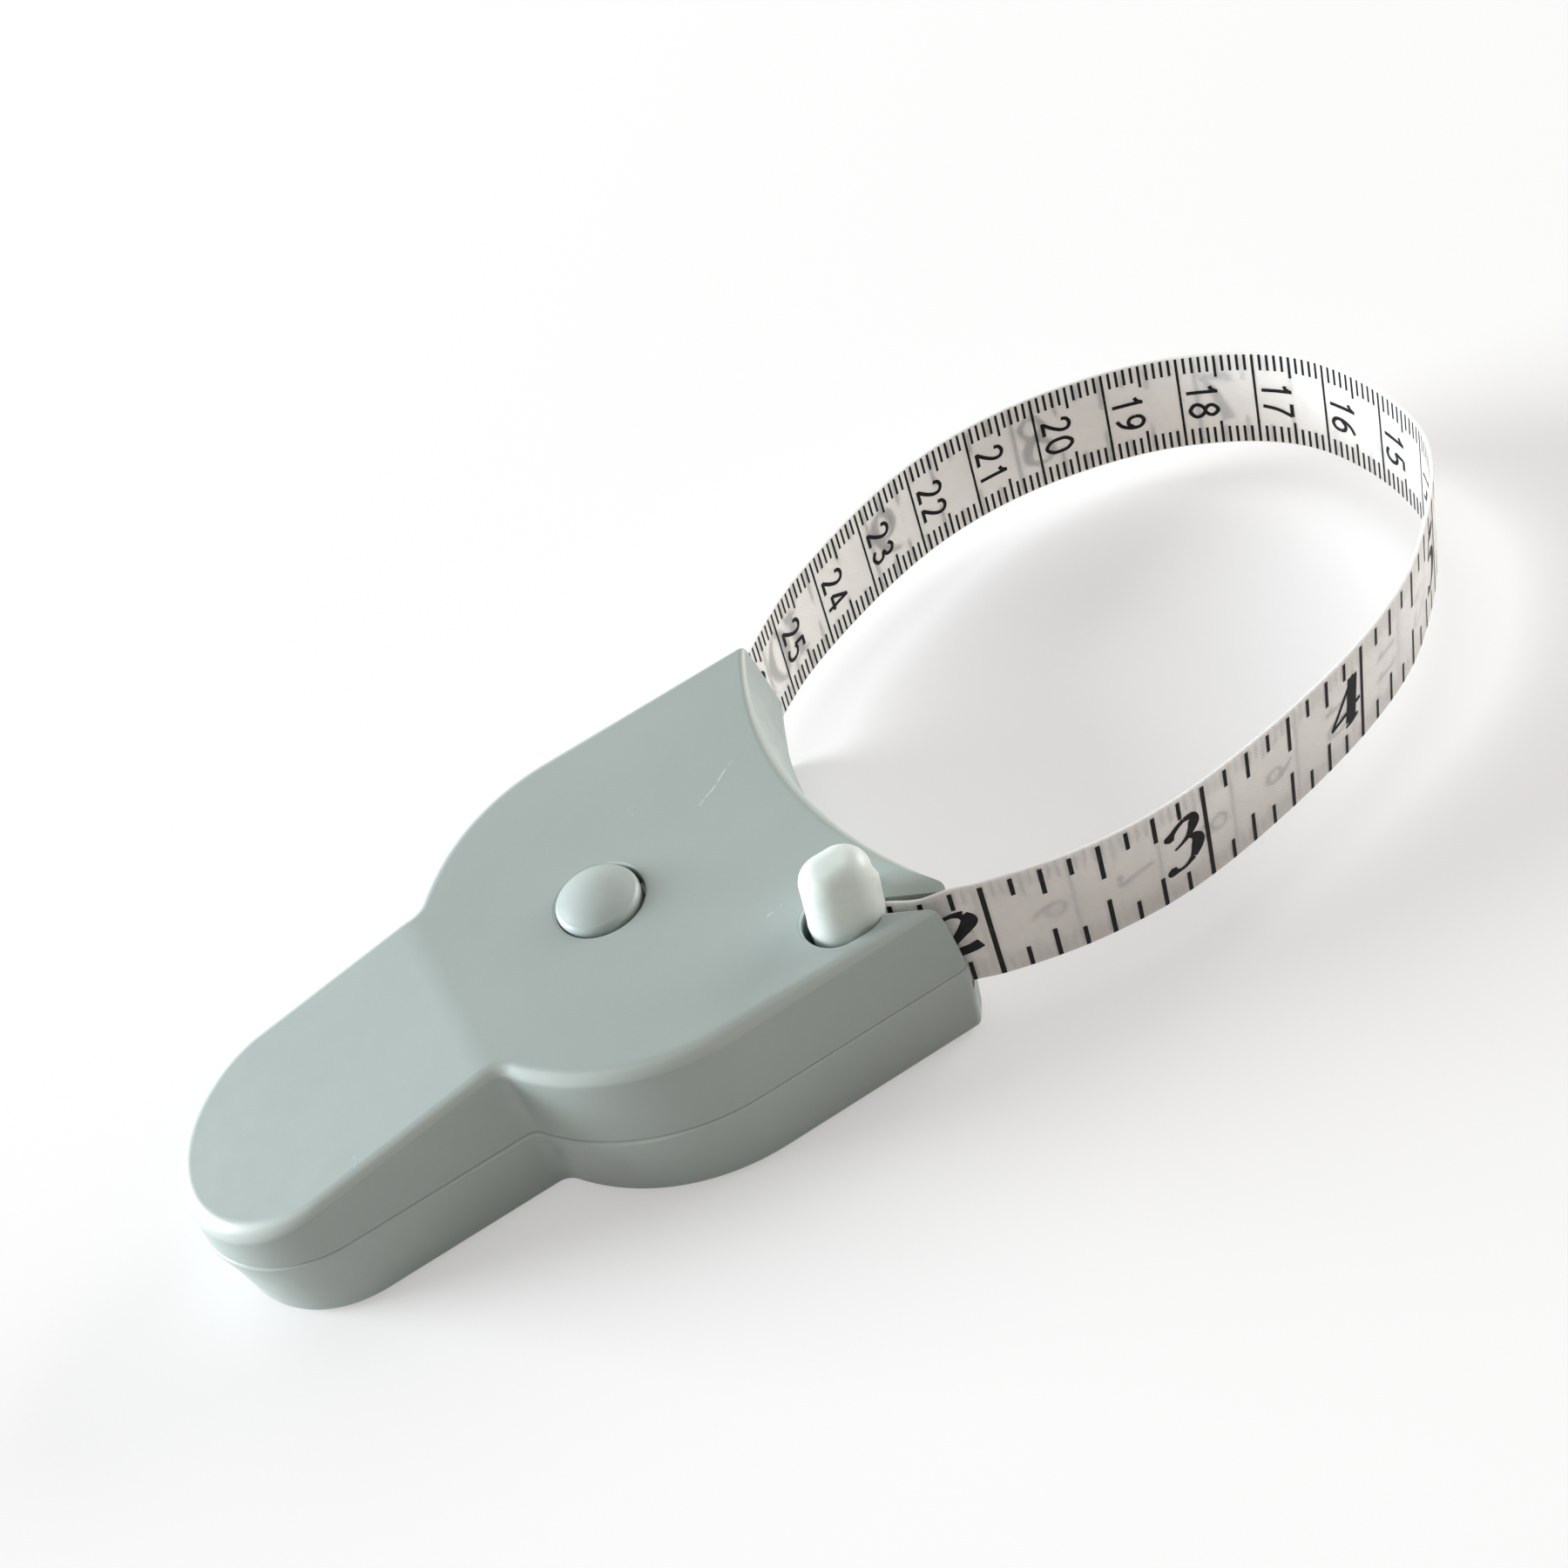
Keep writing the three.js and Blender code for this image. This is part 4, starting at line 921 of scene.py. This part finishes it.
# Pen strokes of the inch numbers, slanted, as (x, y, width) in a box one high
SLANTED_STROKES = {
    "0": [
        [(0.36, 1, 0.05), (0.12, 0.82, 0.12), (0.05, 0.42, 0.15), (0.22, 0, 0.05), (0.48, 0.2, 0.12),
         (0.57, 0.6, 0.15), (0.36, 1, 0.05)],
    ],
    "1": [
        [(0.2, 0.84, 0.03), (0.42, 1.0, 0.06)],
        [(0.44, 0.98, 0.13), (0.28, 0.03, 0.13)],
        [(0.08, 0.02, 0.04), (0.5, 0.02, 0.04)],
    ],
    "2": [
        [(0.02, 0.72, 0.05), (0.0, 0.79, 0.1), (0.04, 0.87, 0.06), (0.24, 0.91, 0.06), (0.41, 0.88, 0.11)],
        [(0.41, 0.88, 0.11), (0.475, 0.75, 0.165), (0.386, 0.596, 0.14), (0.18, 0.37, 0.09),
         (0.02, 0.17, 0.05)],
        [(0.0, 0.13, 0.05), (0.1, 0.165, 0.1), (0.24, 0.15, 0.12), (0.4, 0.175, 0.12), (0.55, 0.245, 0.12)],
    ],
    "3": [
        [(0.06, 0.69, 0.06), (0.09, 0.74, 0.125), (0.15, 0.81, 0.075), (0.233, 0.882, 0.06),
         (0.362, 0.957, 0.06)],
        [(0.362, 0.957, 0.06), (0.502, 0.935, 0.09), (0.525, 0.811, 0.135), (0.421, 0.624, 0.075),
         (0.289, 0.526, 0.045), (0.158, 0.471, 0.03)],
        [(0.39, 0.585, 0.02), (0.5, 0.53, 0.09), (0.55, 0.42, 0.15), (0.53, 0.3, 0.15), (0.441, 0.138, 0.085)],
        [(0.441, 0.138, 0.085), (0.283, 0.043, 0.045), (0.16, 0.036, 0.055), (0.07, 0.075, 0.13),
         (0.02, 0.13, 0.06)],
    ],
    "4": [
        [(0.52, 0.97, 0.05), (-0.016, 0.25, 0.05)],
        [(-0.03, 0.235, 0.05), (0.67, 0.4, 0.05)],
        [(0.5, 0.96, 0.16), (0.43, 0.1, 0.16)],
        [(0.31, 0.04, 0.03), (0.44, 0.08, 0.07), (0.61, 0.13, 0.04)],
    ],
    "5": [
        [(0.24, 0.93, 0.06), (0.44, 0.96, 0.11), (0.64, 1.0, 0.06)],
        [(0.26, 0.95, 0.045), (0.17, 0.6, 0.045)],
        [(0.17, 0.6, 0.05), (0.38, 0.63, 0.08), (0.53, 0.44, 0.15), (0.46, 0.16, 0.11), (0.24, 0.02, 0.05),
         (0.06, 0.08, 0.13)],
    ],
    "6": [
        [(0.62, 0.98, 0.05), (0.36, 0.84, 0.08), (0.13, 0.52, 0.14), (0.08, 0.22, 0.15), (0.24, 0.0, 0.05)],
        [(0.24, 0.0, 0.05), (0.46, 0.14, 0.13), (0.52, 0.38, 0.13), (0.44, 0.56, 0.06), (0.26, 0.54, 0.05),
         (0.13, 0.4, 0.04)],
    ],
    "7": [
        [(0.12, 0.8, 0.04), (0.2, 0.93, 0.11), (0.42, 0.92, 0.1), (0.66, 0.98, 0.05)],
        [(0.66, 0.98, 0.05), (0.4, 0.55, 0.1), (0.22, 0.0, 0.15)],
    ],
    "8": [
        [(0.38, 0.55, 0.1), (0.17, 0.72, 0.1), (0.26, 0.95, 0.08), (0.42, 1, 0.05), (0.57, 0.88, 0.09),
         (0.53, 0.68, 0.08), (0.38, 0.55, 0.1)],
        [(0.36, 0.55, 0.1), (0.07, 0.34, 0.08), (0.09, 0.08, 0.08), (0.3, 0, 0.05), (0.53, 0.14, 0.12),
         (0.5, 0.38, 0.14), (0.36, 0.55, 0.1)],
    ],
    "9": [
        [(0.08, 0.02, 0.05), (0.34, 0.16, 0.08), (0.54, 0.48, 0.14), (0.58, 0.78, 0.15), (0.42, 1.0, 0.05)],
        [(0.42, 1.0, 0.05), (0.2, 0.86, 0.13), (0.15, 0.62, 0.13), (0.24, 0.44, 0.06), (0.4, 0.45, 0.05),
         (0.53, 0.6, 0.04)],
    ],
}

# Name, inner face or not, start on the scale, pitch, count, stroke, upper and lower lengths, layer of ink
TICKS = [
    ("millimetre_ticks", True, 43.0, 1.0, 222, 0.37, 2.5, 2.65, 0),
    ("five_ticks", True, 45.0, 5.0, 44, 0.37, 3.4, 3.6, 1),
    ("centimetre_lines", True, 50.0, 10.0, 22, 0.34, 7.14, 7.14, 2),
    ("eighth_ticks", False, 41.275, 3.175, 70, 0.5, 2.55, 3.0, 0),
    ("quarter_ticks", False, 44.45, 6.35, 34, 0.52, 3.85, 4.4, 1),
    ("half_ticks", False, 63.5, 12.7, 16, 0.54, 5.15, 5.4, 2),
    ("inch_lines", False, 50.8, 25.4, 9, 0.56, 7.02, 7.02, 3),
]

# Name, inner face or not, strokes, numbers, unit, height, base, and the digits' left end, shift and pitch
NUMBERS = [
    ("centimetre_numbers", True, PLAIN_STROKES, range(5, 27), 10, 4.2, 0.85, -1.27, -1.58, 3.16),
    ("inch_numbers", False, SLANTED_STROKES, range(2, 11), 25.4, 7.6, -3.35, -5.55, -5.0, 5.0),
]


def tape_place(mark):
    """Place along the tape of a mark on the printed scale."""
    return mark - PRINT_START + TAPE_IN_PEG


def ticks(tree, path, ink, name, inner, start, pitch, count, stroke, upper, lower, layer):
    """Ticks of one kind on one face."""
    piece = add_piece(name, bpy.data.meshes.new(name))
    face = TAPE_THICKNESS / 2 + INK_LIFT + INK_LAYER * layer
    upper_edge, lower_edge = INNER_EDGES if inner else OUTER_EDGES
    lengths = {
        "Start": tape_place(start),
        "Pitch": pitch,
        "Stroke": stroke,
        "Upper length": upper,
        "Lower length": lower,
        "Upper edge": upper_edge,
        "Lower edge": lower_edge,
        "Face": -face if inner else face,
    }
    values = {key: value * MM for key, value in lengths.items()}
    values.update({"Path": path, "Count": count, "Inner face": inner, "Ink": ink})
    grow_nodes(piece, tree, values)
    return piece


def pen_edges(knots):
    """Edges of a pen stroke, left and right by turns."""
    plain = len(knots[0]) == 2
    line = catmull_rom([Vector((*k, PLAIN_WEIGHT) if plain else k) for k in knots], 8)
    edges = []
    for i, spot in enumerate(line):
        run = (line[min(i + 1, len(line) - 1)] - line[max(i - 1, 0)]).to_2d().normalized()
        side = Vector((-run.y, run.x)) * spot.z / 2 * (1.0 if plain else SLANTED_SPREAD)
        edges += [spot.to_2d() + side, spot.to_2d() - side]
    return edges


def numbers(wrap, path, ink, name, inner, strokes, values, unit, high, base, left, shift, pitch):
    """Numbers, each just before its line, which read down the tape's inner face or along its outer one."""
    face = TAPE_THICKNESS / 2 + INK_LIFT
    points, faces = [], []
    for digits in map(str, values):
        line = tape_place(unit * int(digits))
        for i, digit in enumerate(digits):
            across = left + shift * (len(digits) - 1) + pitch * i
            for knots in strokes[digit]:
                start = len(points)
                for edge in pen_edges(knots):
                    x, y = across + edge.x * high, base + edge.y * high
                    points.append((line - y, -x, -face) if inner else (line + x, y, face))
                faces += [(a, a + 1, a + 3, a + 2) for a in range(start, len(points) - 2, 2)]
    piece = piece_from(name, points, faces)
    grow_nodes(piece, wrap, {"Path": path, "Finish": ink})
    return piece


# ---- finishes


def finish_tree(name):
    """New material, its tree, its shader, and the place on the object."""
    material = bpy.data.materials.new(name)
    material.use_nodes = True
    tree = material.node_tree
    place = node(tree, "ShaderNodeTexCoord").outputs["Object"]
    return material, tree, tree.nodes["Principled BSDF"], place


def noise(tree, place, scale, detail, output="Fac"):
    inputs = {"Vector": place, "Scale": scale, "Detail": detail}
    return node(tree, "ShaderNodeTexNoise", inputs).outputs[output]


def spread(tree, value, low, high, from_low=0.3, from_high=0.7, **settings):
    inputs = {"Value": value, "From Min": from_low, "From Max": from_high, "To Min": low, "To Max": high}
    return node(tree, "ShaderNodeMapRange", inputs, **settings).outputs["Result"]


def tint(tree, share, first, second):
    made = node(tree, "ShaderNodeMix", {"Factor": share}, data_type="RGBA")
    places = [i for i, socket in enumerate(made.inputs) if socket.type == "RGBA"]
    colours = [(*value, 1) if isinstance(value, tuple) else value for value in (first, second)]
    fill(tree, made, dict(zip(places, colours)))
    return next(s for s in made.outputs if s.type == "RGBA")


def bump(tree, height, strength, distance):
    inputs = {"Height": height, "Strength": strength, "Distance": distance}
    return node(tree, "ShaderNodeBump", inputs).outputs["Normal"]


def scratch_group():
    """Mask of a short hairline scratch between two points, broken up by noise."""
    sockets = {"Place": "Vector", "Start": "Vector", "Run": "Vector", "Width": "Float"}
    tree, given, result = new_group("hairline", "ShaderNodeTree", sockets, "Mask", "Float")
    place, run = given["Place"], given["Run"]
    away = vector_of(tree, "SUBTRACT", place, given["Start"])
    along = number_of(tree, "DOT_PRODUCT", away, run)
    whole = number_of(tree, "DOT_PRODUCT", run, run)
    foot = vector_of(tree, "SCALE", run, reckon(tree, "DIVIDE", along, whole, use_clamp=True))
    off = number_of(tree, "DISTANCE", away, foot)
    near = spread(tree, off, 1, 0, 0, given["Width"], interpolation_type="SMOOTHSTEP")
    broken = spread(tree, noise(tree, place, 900, 2), 0, 1, 0.42, 0.58)
    tree.links.new(reckon(tree, "MULTIPLY", near, broken), result)
    return tree


def scratch_marks(tree, place, scratches):
    """Mask of hairline scratches that wander a little."""
    hairline = scratch_group()
    drift = [noise(tree, place, 260, 2, "Color"), (0.0007, 0.0007, 0.0), place]
    wander = node(tree, "ShaderNodeVectorMath", drift, operation="MULTIPLY_ADD").outputs[0]
    marks = 0.0
    for start, end, width in scratches:
        run = (Vector(end) - Vector(start)) * MM
        line = {"Place": wander, "Start": Vector(start) * MM, "Run": run, "Width": width * MM}
        mark = node(tree, "ShaderNodeGroup", line, node_tree=hairline).outputs[0]
        marks = reckon(tree, "MAXIMUM", marks, mark)
    return marks


def moulded_plastic(name, dark, light, roughness, scratches=(), glow=0.0, highlight_colour=None):
    """Satin moulded plastic: clouded colour, fine grain, uneven gloss, a painted highlight on rounded edges and
    hairline scratches.
    """
    material, tree, shader, place = finish_tree(name)
    clouds = spread(tree, noise(tree, place, 55, 3), 0, 1)
    specks = spread(tree, noise(tree, place, 2600, 2), 0, 0.12, 0.55, 0.8)
    pale = tuple(min(1.0, 1.25 * c) for c in light)
    colour = tint(tree, specks, tint(tree, clouds, dark, light), pale)
    # Painted highlight: the rounded edges are made paler towards the given colour
    if highlight_colour:
        edge_light = node(tree, "ShaderNodeAttribute", attribute_name="painted_edge_highlight").outputs["Fac"]
        colour = tint(tree, spread(tree, edge_light, 0, 0.75, 0, 1), colour, highlight_colour)
    if scratches:
        worn = reckon(tree, "MULTIPLY", scratch_marks(tree, place, scratches), 0.42)
        colour = tint(tree, worn, colour, (0.82, 0.88, 0.87))
    gloss = noise(tree, place, 420, 3)
    grain = noise(tree, place, 5200, 2)
    inputs = {
        "Base Color": colour,
        "Roughness": spread(tree, gloss, roughness - 0.05, roughness + 0.07),
        "Normal": bump(tree, grain, 0.06, 0.00006),
        "Subsurface Weight": glow,
        "Subsurface Radius": (1.0, 1.0, 0.95),
        "Subsurface Scale": 0.003,
    }
    fill(tree, shader, inputs)
    return material


def coated_cloth():
    """Woven glass cloth under a smooth pale coating: faint threads, cloudy stains and worn edges."""
    material, tree, shader, place = finish_tree("coated_tape")
    uv = node(tree, "ShaderNodeUVMap", uv_map="tape_uv").outputs[0]
    across = node(tree, "ShaderNodeSeparateXYZ", [uv]).outputs
    stains = spread(tree, noise(tree, place, 90, 4), 0, 1, 0.35, 0.7)
    colour = tint(tree, stains, (0.735, 0.723, 0.712), (0.705, 0.692, 0.683))
    grime = spread(tree, noise(tree, place, 700, 5), 0, 0.35, 0.5, 0.85)
    colour = tint(tree, grime, colour, (0.63, 0.615, 0.6))
    off_middle = reckon(tree, "ABSOLUTE", reckon(tree, "SUBTRACT", across["Y"], 0.5))
    colour = tint(tree, spread(tree, off_middle, 0, 0.7, 0.482, 0.5), colour, (0.85, 0.84, 0.83))
    threads = []
    for axis, count in (("X", 1100.0), ("Y", 58.0)):
        threads.append(reckon(tree, "SINE", reckon(tree, "MULTIPLY", across[axis], count * math.pi)))
    weave = reckon(tree, "MULTIPLY", *threads)
    height = reckon(tree, "MULTIPLY_ADD", noise(tree, place, 160, 3), 5.0, weave)
    inputs = {
        "Base Color": colour,
        "Roughness": spread(tree, stains, 0.38, 0.5, 0, 1),
        "Normal": bump(tree, height, 0.25, 0.00004),
        "Subsurface Weight": 1.0,
        "Subsurface Radius": (1.0, 0.95, 0.9),
        "Subsurface Scale": 0.0012,
    }
    fill(tree, shader, inputs)
    return material


def black_ink():
    """Printed ink with thin spots."""
    material, tree, shader, place = finish_tree("black_ink")
    thin = spread(tree, noise(tree, place, 1500, 4), 0, 0.5, 0.55, 0.85)
    colour = tint(tree, thin, (0.012, 0.011, 0.012), (0.07, 0.065, 0.065))
    fill(tree, shader, {"Base Color": colour, "Roughness": 0.55, "Specular IOR Level": 0.12})
    return material


def bright_steel(name, colour, roughness):
    material, tree, shader, place = finish_tree(name)
    streaks = noise(tree, place, 800, 4)
    colour = tint(tree, streaks, colour, tuple(0.75 * c for c in colour))
    rough = spread(tree, streaks, roughness - 0.08, roughness + 0.1)
    fill(tree, shader, {"Base Color": colour, "Roughness": rough, "Metallic": 1.0})
    return material


def soft_rubber():
    material, tree, shader, place = finish_tree("brake_rubber")
    dust = spread(tree, noise(tree, place, 900, 4), 0, 0.6, 0.5, 0.8)
    colour = tint(tree, dust, (0.02, 0.02, 0.02), (0.06, 0.058, 0.055))
    fill(tree, shader, {"Base Color": colour, "Roughness": 0.85})
    return material


# ---- making

# Start, end and width of each scratch on the case's top
SCRATCHES = [
    ((15.3, 5.3, 21.3), (18.1, 6.6, 21.3), 0.22),
    ((18.0, 6.6, 21.3), (21.6, 8.9, 21.3), 0.2),
    ((8.5, 10.7, 21.3), (8.6, 9.2, 21.3), 0.12),
    ((13.8, -14.5, 21.3), (16.4, -14.1, 21.3), 0.16),
    ((10.9, -12.6, 21.3), (10.6, -14.2, 21.3), 0.1),
    ((-30.9, 10.0, 19.3), (-28.4, 9.1, 19.7), 0.16),
    ((-36.0, -11.7, 18.4), (-34.2, -10.4, 18.7), 0.14),
    ((-35.2, -12.2, 18.5), (-34.5, -11.1, 18.7), 0.12),
]
# The case's paler rounded edges are a painted highlight
case_plastic = moulded_plastic(
    "case_plastic", (0.384, 0.447, 0.43), (0.408, 0.472, 0.454), 0.36, SCRATCHES, highlight_colour=(0.57, 0.635, 0.61)
)
button_plastic = moulded_plastic("button_plastic", (0.43, 0.492, 0.472), (0.455, 0.518, 0.5), 0.36)
peg_plastic = moulded_plastic("peg_plastic", (0.7, 0.76, 0.735), (0.73, 0.79, 0.765), 0.32, glow=0.7)
reel_plastic = moulded_plastic("reel_plastic", (0.70, 0.69, 0.64), (0.76, 0.75, 0.70), 0.45)
tape_cloth = coated_cloth()
ink = black_ink()
spring_steel = bright_steel("spring_steel", (0.52, 0.53, 0.55), 0.32)
screw_steel = bright_steel("screw_steel", (0.62, 0.62, 0.60), 0.28)
rubber = soft_rubber()

# Shells, with a painted highlight on their rounded edges
for shell, held in ((upper_case(), "upper_shell"), (lower_case(), "lower_shell")):
    paint_edge_highlight(shell)
    dress(shell, case_plastic, "case", "case_plastic", held)
dress(peg(), peg_plastic, "peg", "button_plastic", "end_peg")
dress(button(), button_plastic, "button", "button_plastic", "release_button")
for name, place in SCREW_PLACES.items():
    dress(screw(f"screw_{name}", place), screw_steel, "case", "steel", f"case_screw_{name}")

# Springs: the mainspring's hook stays with the case and its coil goes with the reel.
lift_spring = node_copy("lift_spring", "button_spring")
dress(lift_spring, spring_steel, None, "steel", "button_spring")
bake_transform(lift_spring)
hook = node_copy("spring_hook", "mainspring")
combine(hook, post(SPRING_HOOK_REACH, 0, CASE_HEIGHT), "INTERSECT")
dress(hook, spring_steel, "case", "steel")
coil = node_copy("spring_coil", "mainspring")
cut(coil, post(SPRING_HOOK_REACH, 0, CASE_HEIGHT))
dress(coil, spring_steel, "reel", "steel", "mainspring")

# The tape and its printing, bent along the tape's path.
wrap = wrap_group()
tick_tree = tick_group(wrap)
path, path_length, loop_length = path_line()
tape = tape_strip("tape", wrap, path, tape_cloth, path_length, 0.0, loop_length)
lead = tape_strip("tape_inside", wrap, path, tape_cloth, path_length, loop_length + TAPE_GAP, path_length)
dress(lead, tape_cloth, "case", "tape_cloth", "tape_lead")
prints = [ticks(tick_tree, path, ink, *row) for row in TICKS]
prints += [numbers(wrap, path, ink, *row) for row in NUMBERS]
bpy.data.objects.remove(path)

for piece in [tape] + prints:
    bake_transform(piece)
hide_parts("tape_loop", "tape_end")

# Inner pieces that stay as they are
for names, material in (
    (("reel_hub", "reel_cover"), reel_plastic),
    (("tape_roll",), tape_cloth),
    (("spring_arbor", "tape_anchor", "guide_pin", "peg_pin"), spring_steel),
    (("brake_ring",), rubber),
):
    for name in names:
        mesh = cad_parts[name].data
        mesh.materials.clear()
        mesh.materials.append(material)

# ---- floor, light and camera


def seen_rays(tree):
    """One for camera, glossy and transmission rays, none for the light that falls on the object."""
    ray = node(tree, "ShaderNodeLightPath").outputs
    seen = reckon(tree, "MAXIMUM", ray["Is Camera Ray"], ray["Is Glossy Ray"])
    return reckon(tree, "MAXIMUM", seen, ray["Is Transmission Ray"])


def floor():
    """White floor, plain white to the camera, that keeps the shadow."""
    reach = 4000
    points = [(-reach, -reach, 0), (reach, -reach, 0), (reach, reach, 0), (-reach, reach, 0)]
    piece = piece_from("floor", points, [(0, 1, 2, 3)])
    material, tree, shader, place = finish_tree("pale_floor")
    lit = tint(tree, noise(tree, place, 12, 3), (0.85, 0.815, 0.785), (0.87, 0.835, 0.805))
    seen = seen_rays(tree)
    inputs = {
        "Base Color": tint(tree, seen, lit, (0.62, 0.62, 0.62)),
        "Emission Strength": reckon(tree, "MULTIPLY", seen, 0.4),
        "Emission Color": (1, 1, 1, 1),
        "Roughness": 0.9,
        "Specular IOR Level": 0.0,
    }
    fill(tree, shader, inputs)
    piece.data.materials.append(material)
    piece.location.z = -0.0002


def lamp(name, place, target, size, power, colour):
    data = bpy.data.lights.new(name, "AREA")
    data.shape = "DISK"
    data.size = size
    data.energy = power
    data.color = colour
    made = add_piece(name, data)
    made.location = place
    made.rotation_mode = "QUATERNION"
    made.rotation_quaternion = (Vector(target) - Vector(place)).to_track_quat("-Z", "Y")


def camera():
    data = bpy.data.cameras.new("camera")
    data.sensor_width = 36
    data.lens = 41.566
    data.clip_start = 0.01
    data.clip_end = 20
    made = add_piece("camera", data)
    right = Vector((0.84869, -0.45536, -0.26902))
    down = Vector((-0.50344, -0.53968, -0.67475))
    ahead = Vector((0.16207, 0.70809, -0.68727))
    turn = Matrix((right, -down, -ahead)).transposed().to_4x4()
    made.matrix_world = Matrix.Translation(Vector((-8.58, -141.44, 159.39)) * MM) @ turn
    bpy.context.scene.camera = made


def room():
    """Dim warm room for the object, plain white where it is seen or mirrored."""
    world = bpy.data.worlds.new("room")
    world.use_nodes = True
    tree = world.node_tree
    seen = seen_rays(tree)
    colour = tint(tree, seen, (1.0, 0.9, 0.83), (1.0, 1.0, 1.0))
    fill(tree, tree.nodes["Background"], {"Color": colour, "Strength": spread(tree, seen, 0.26, 1.0, 0, 1)})
    bpy.context.scene.world = world


floor()
camera()
lamp("window", (-2.45, 1.35, 0.7), (0.03, 0.0, 0.01), 1.7, 170, (0.9, 0.965, 1.0))
lamp("ceiling", (0.15, 0.75, 3.0), (0.03, 0.0, 0.0), 1.5, 9, (1.0, 1.0, 1.0))
lamp("white_wall", (2.55, 0.3, 0.55), (0.03, 0.0, 0.01), 1.8, 58, (1.0, 0.98, 0.95))
room()
bpy.context.scene.view_settings.view_transform = "Standard"
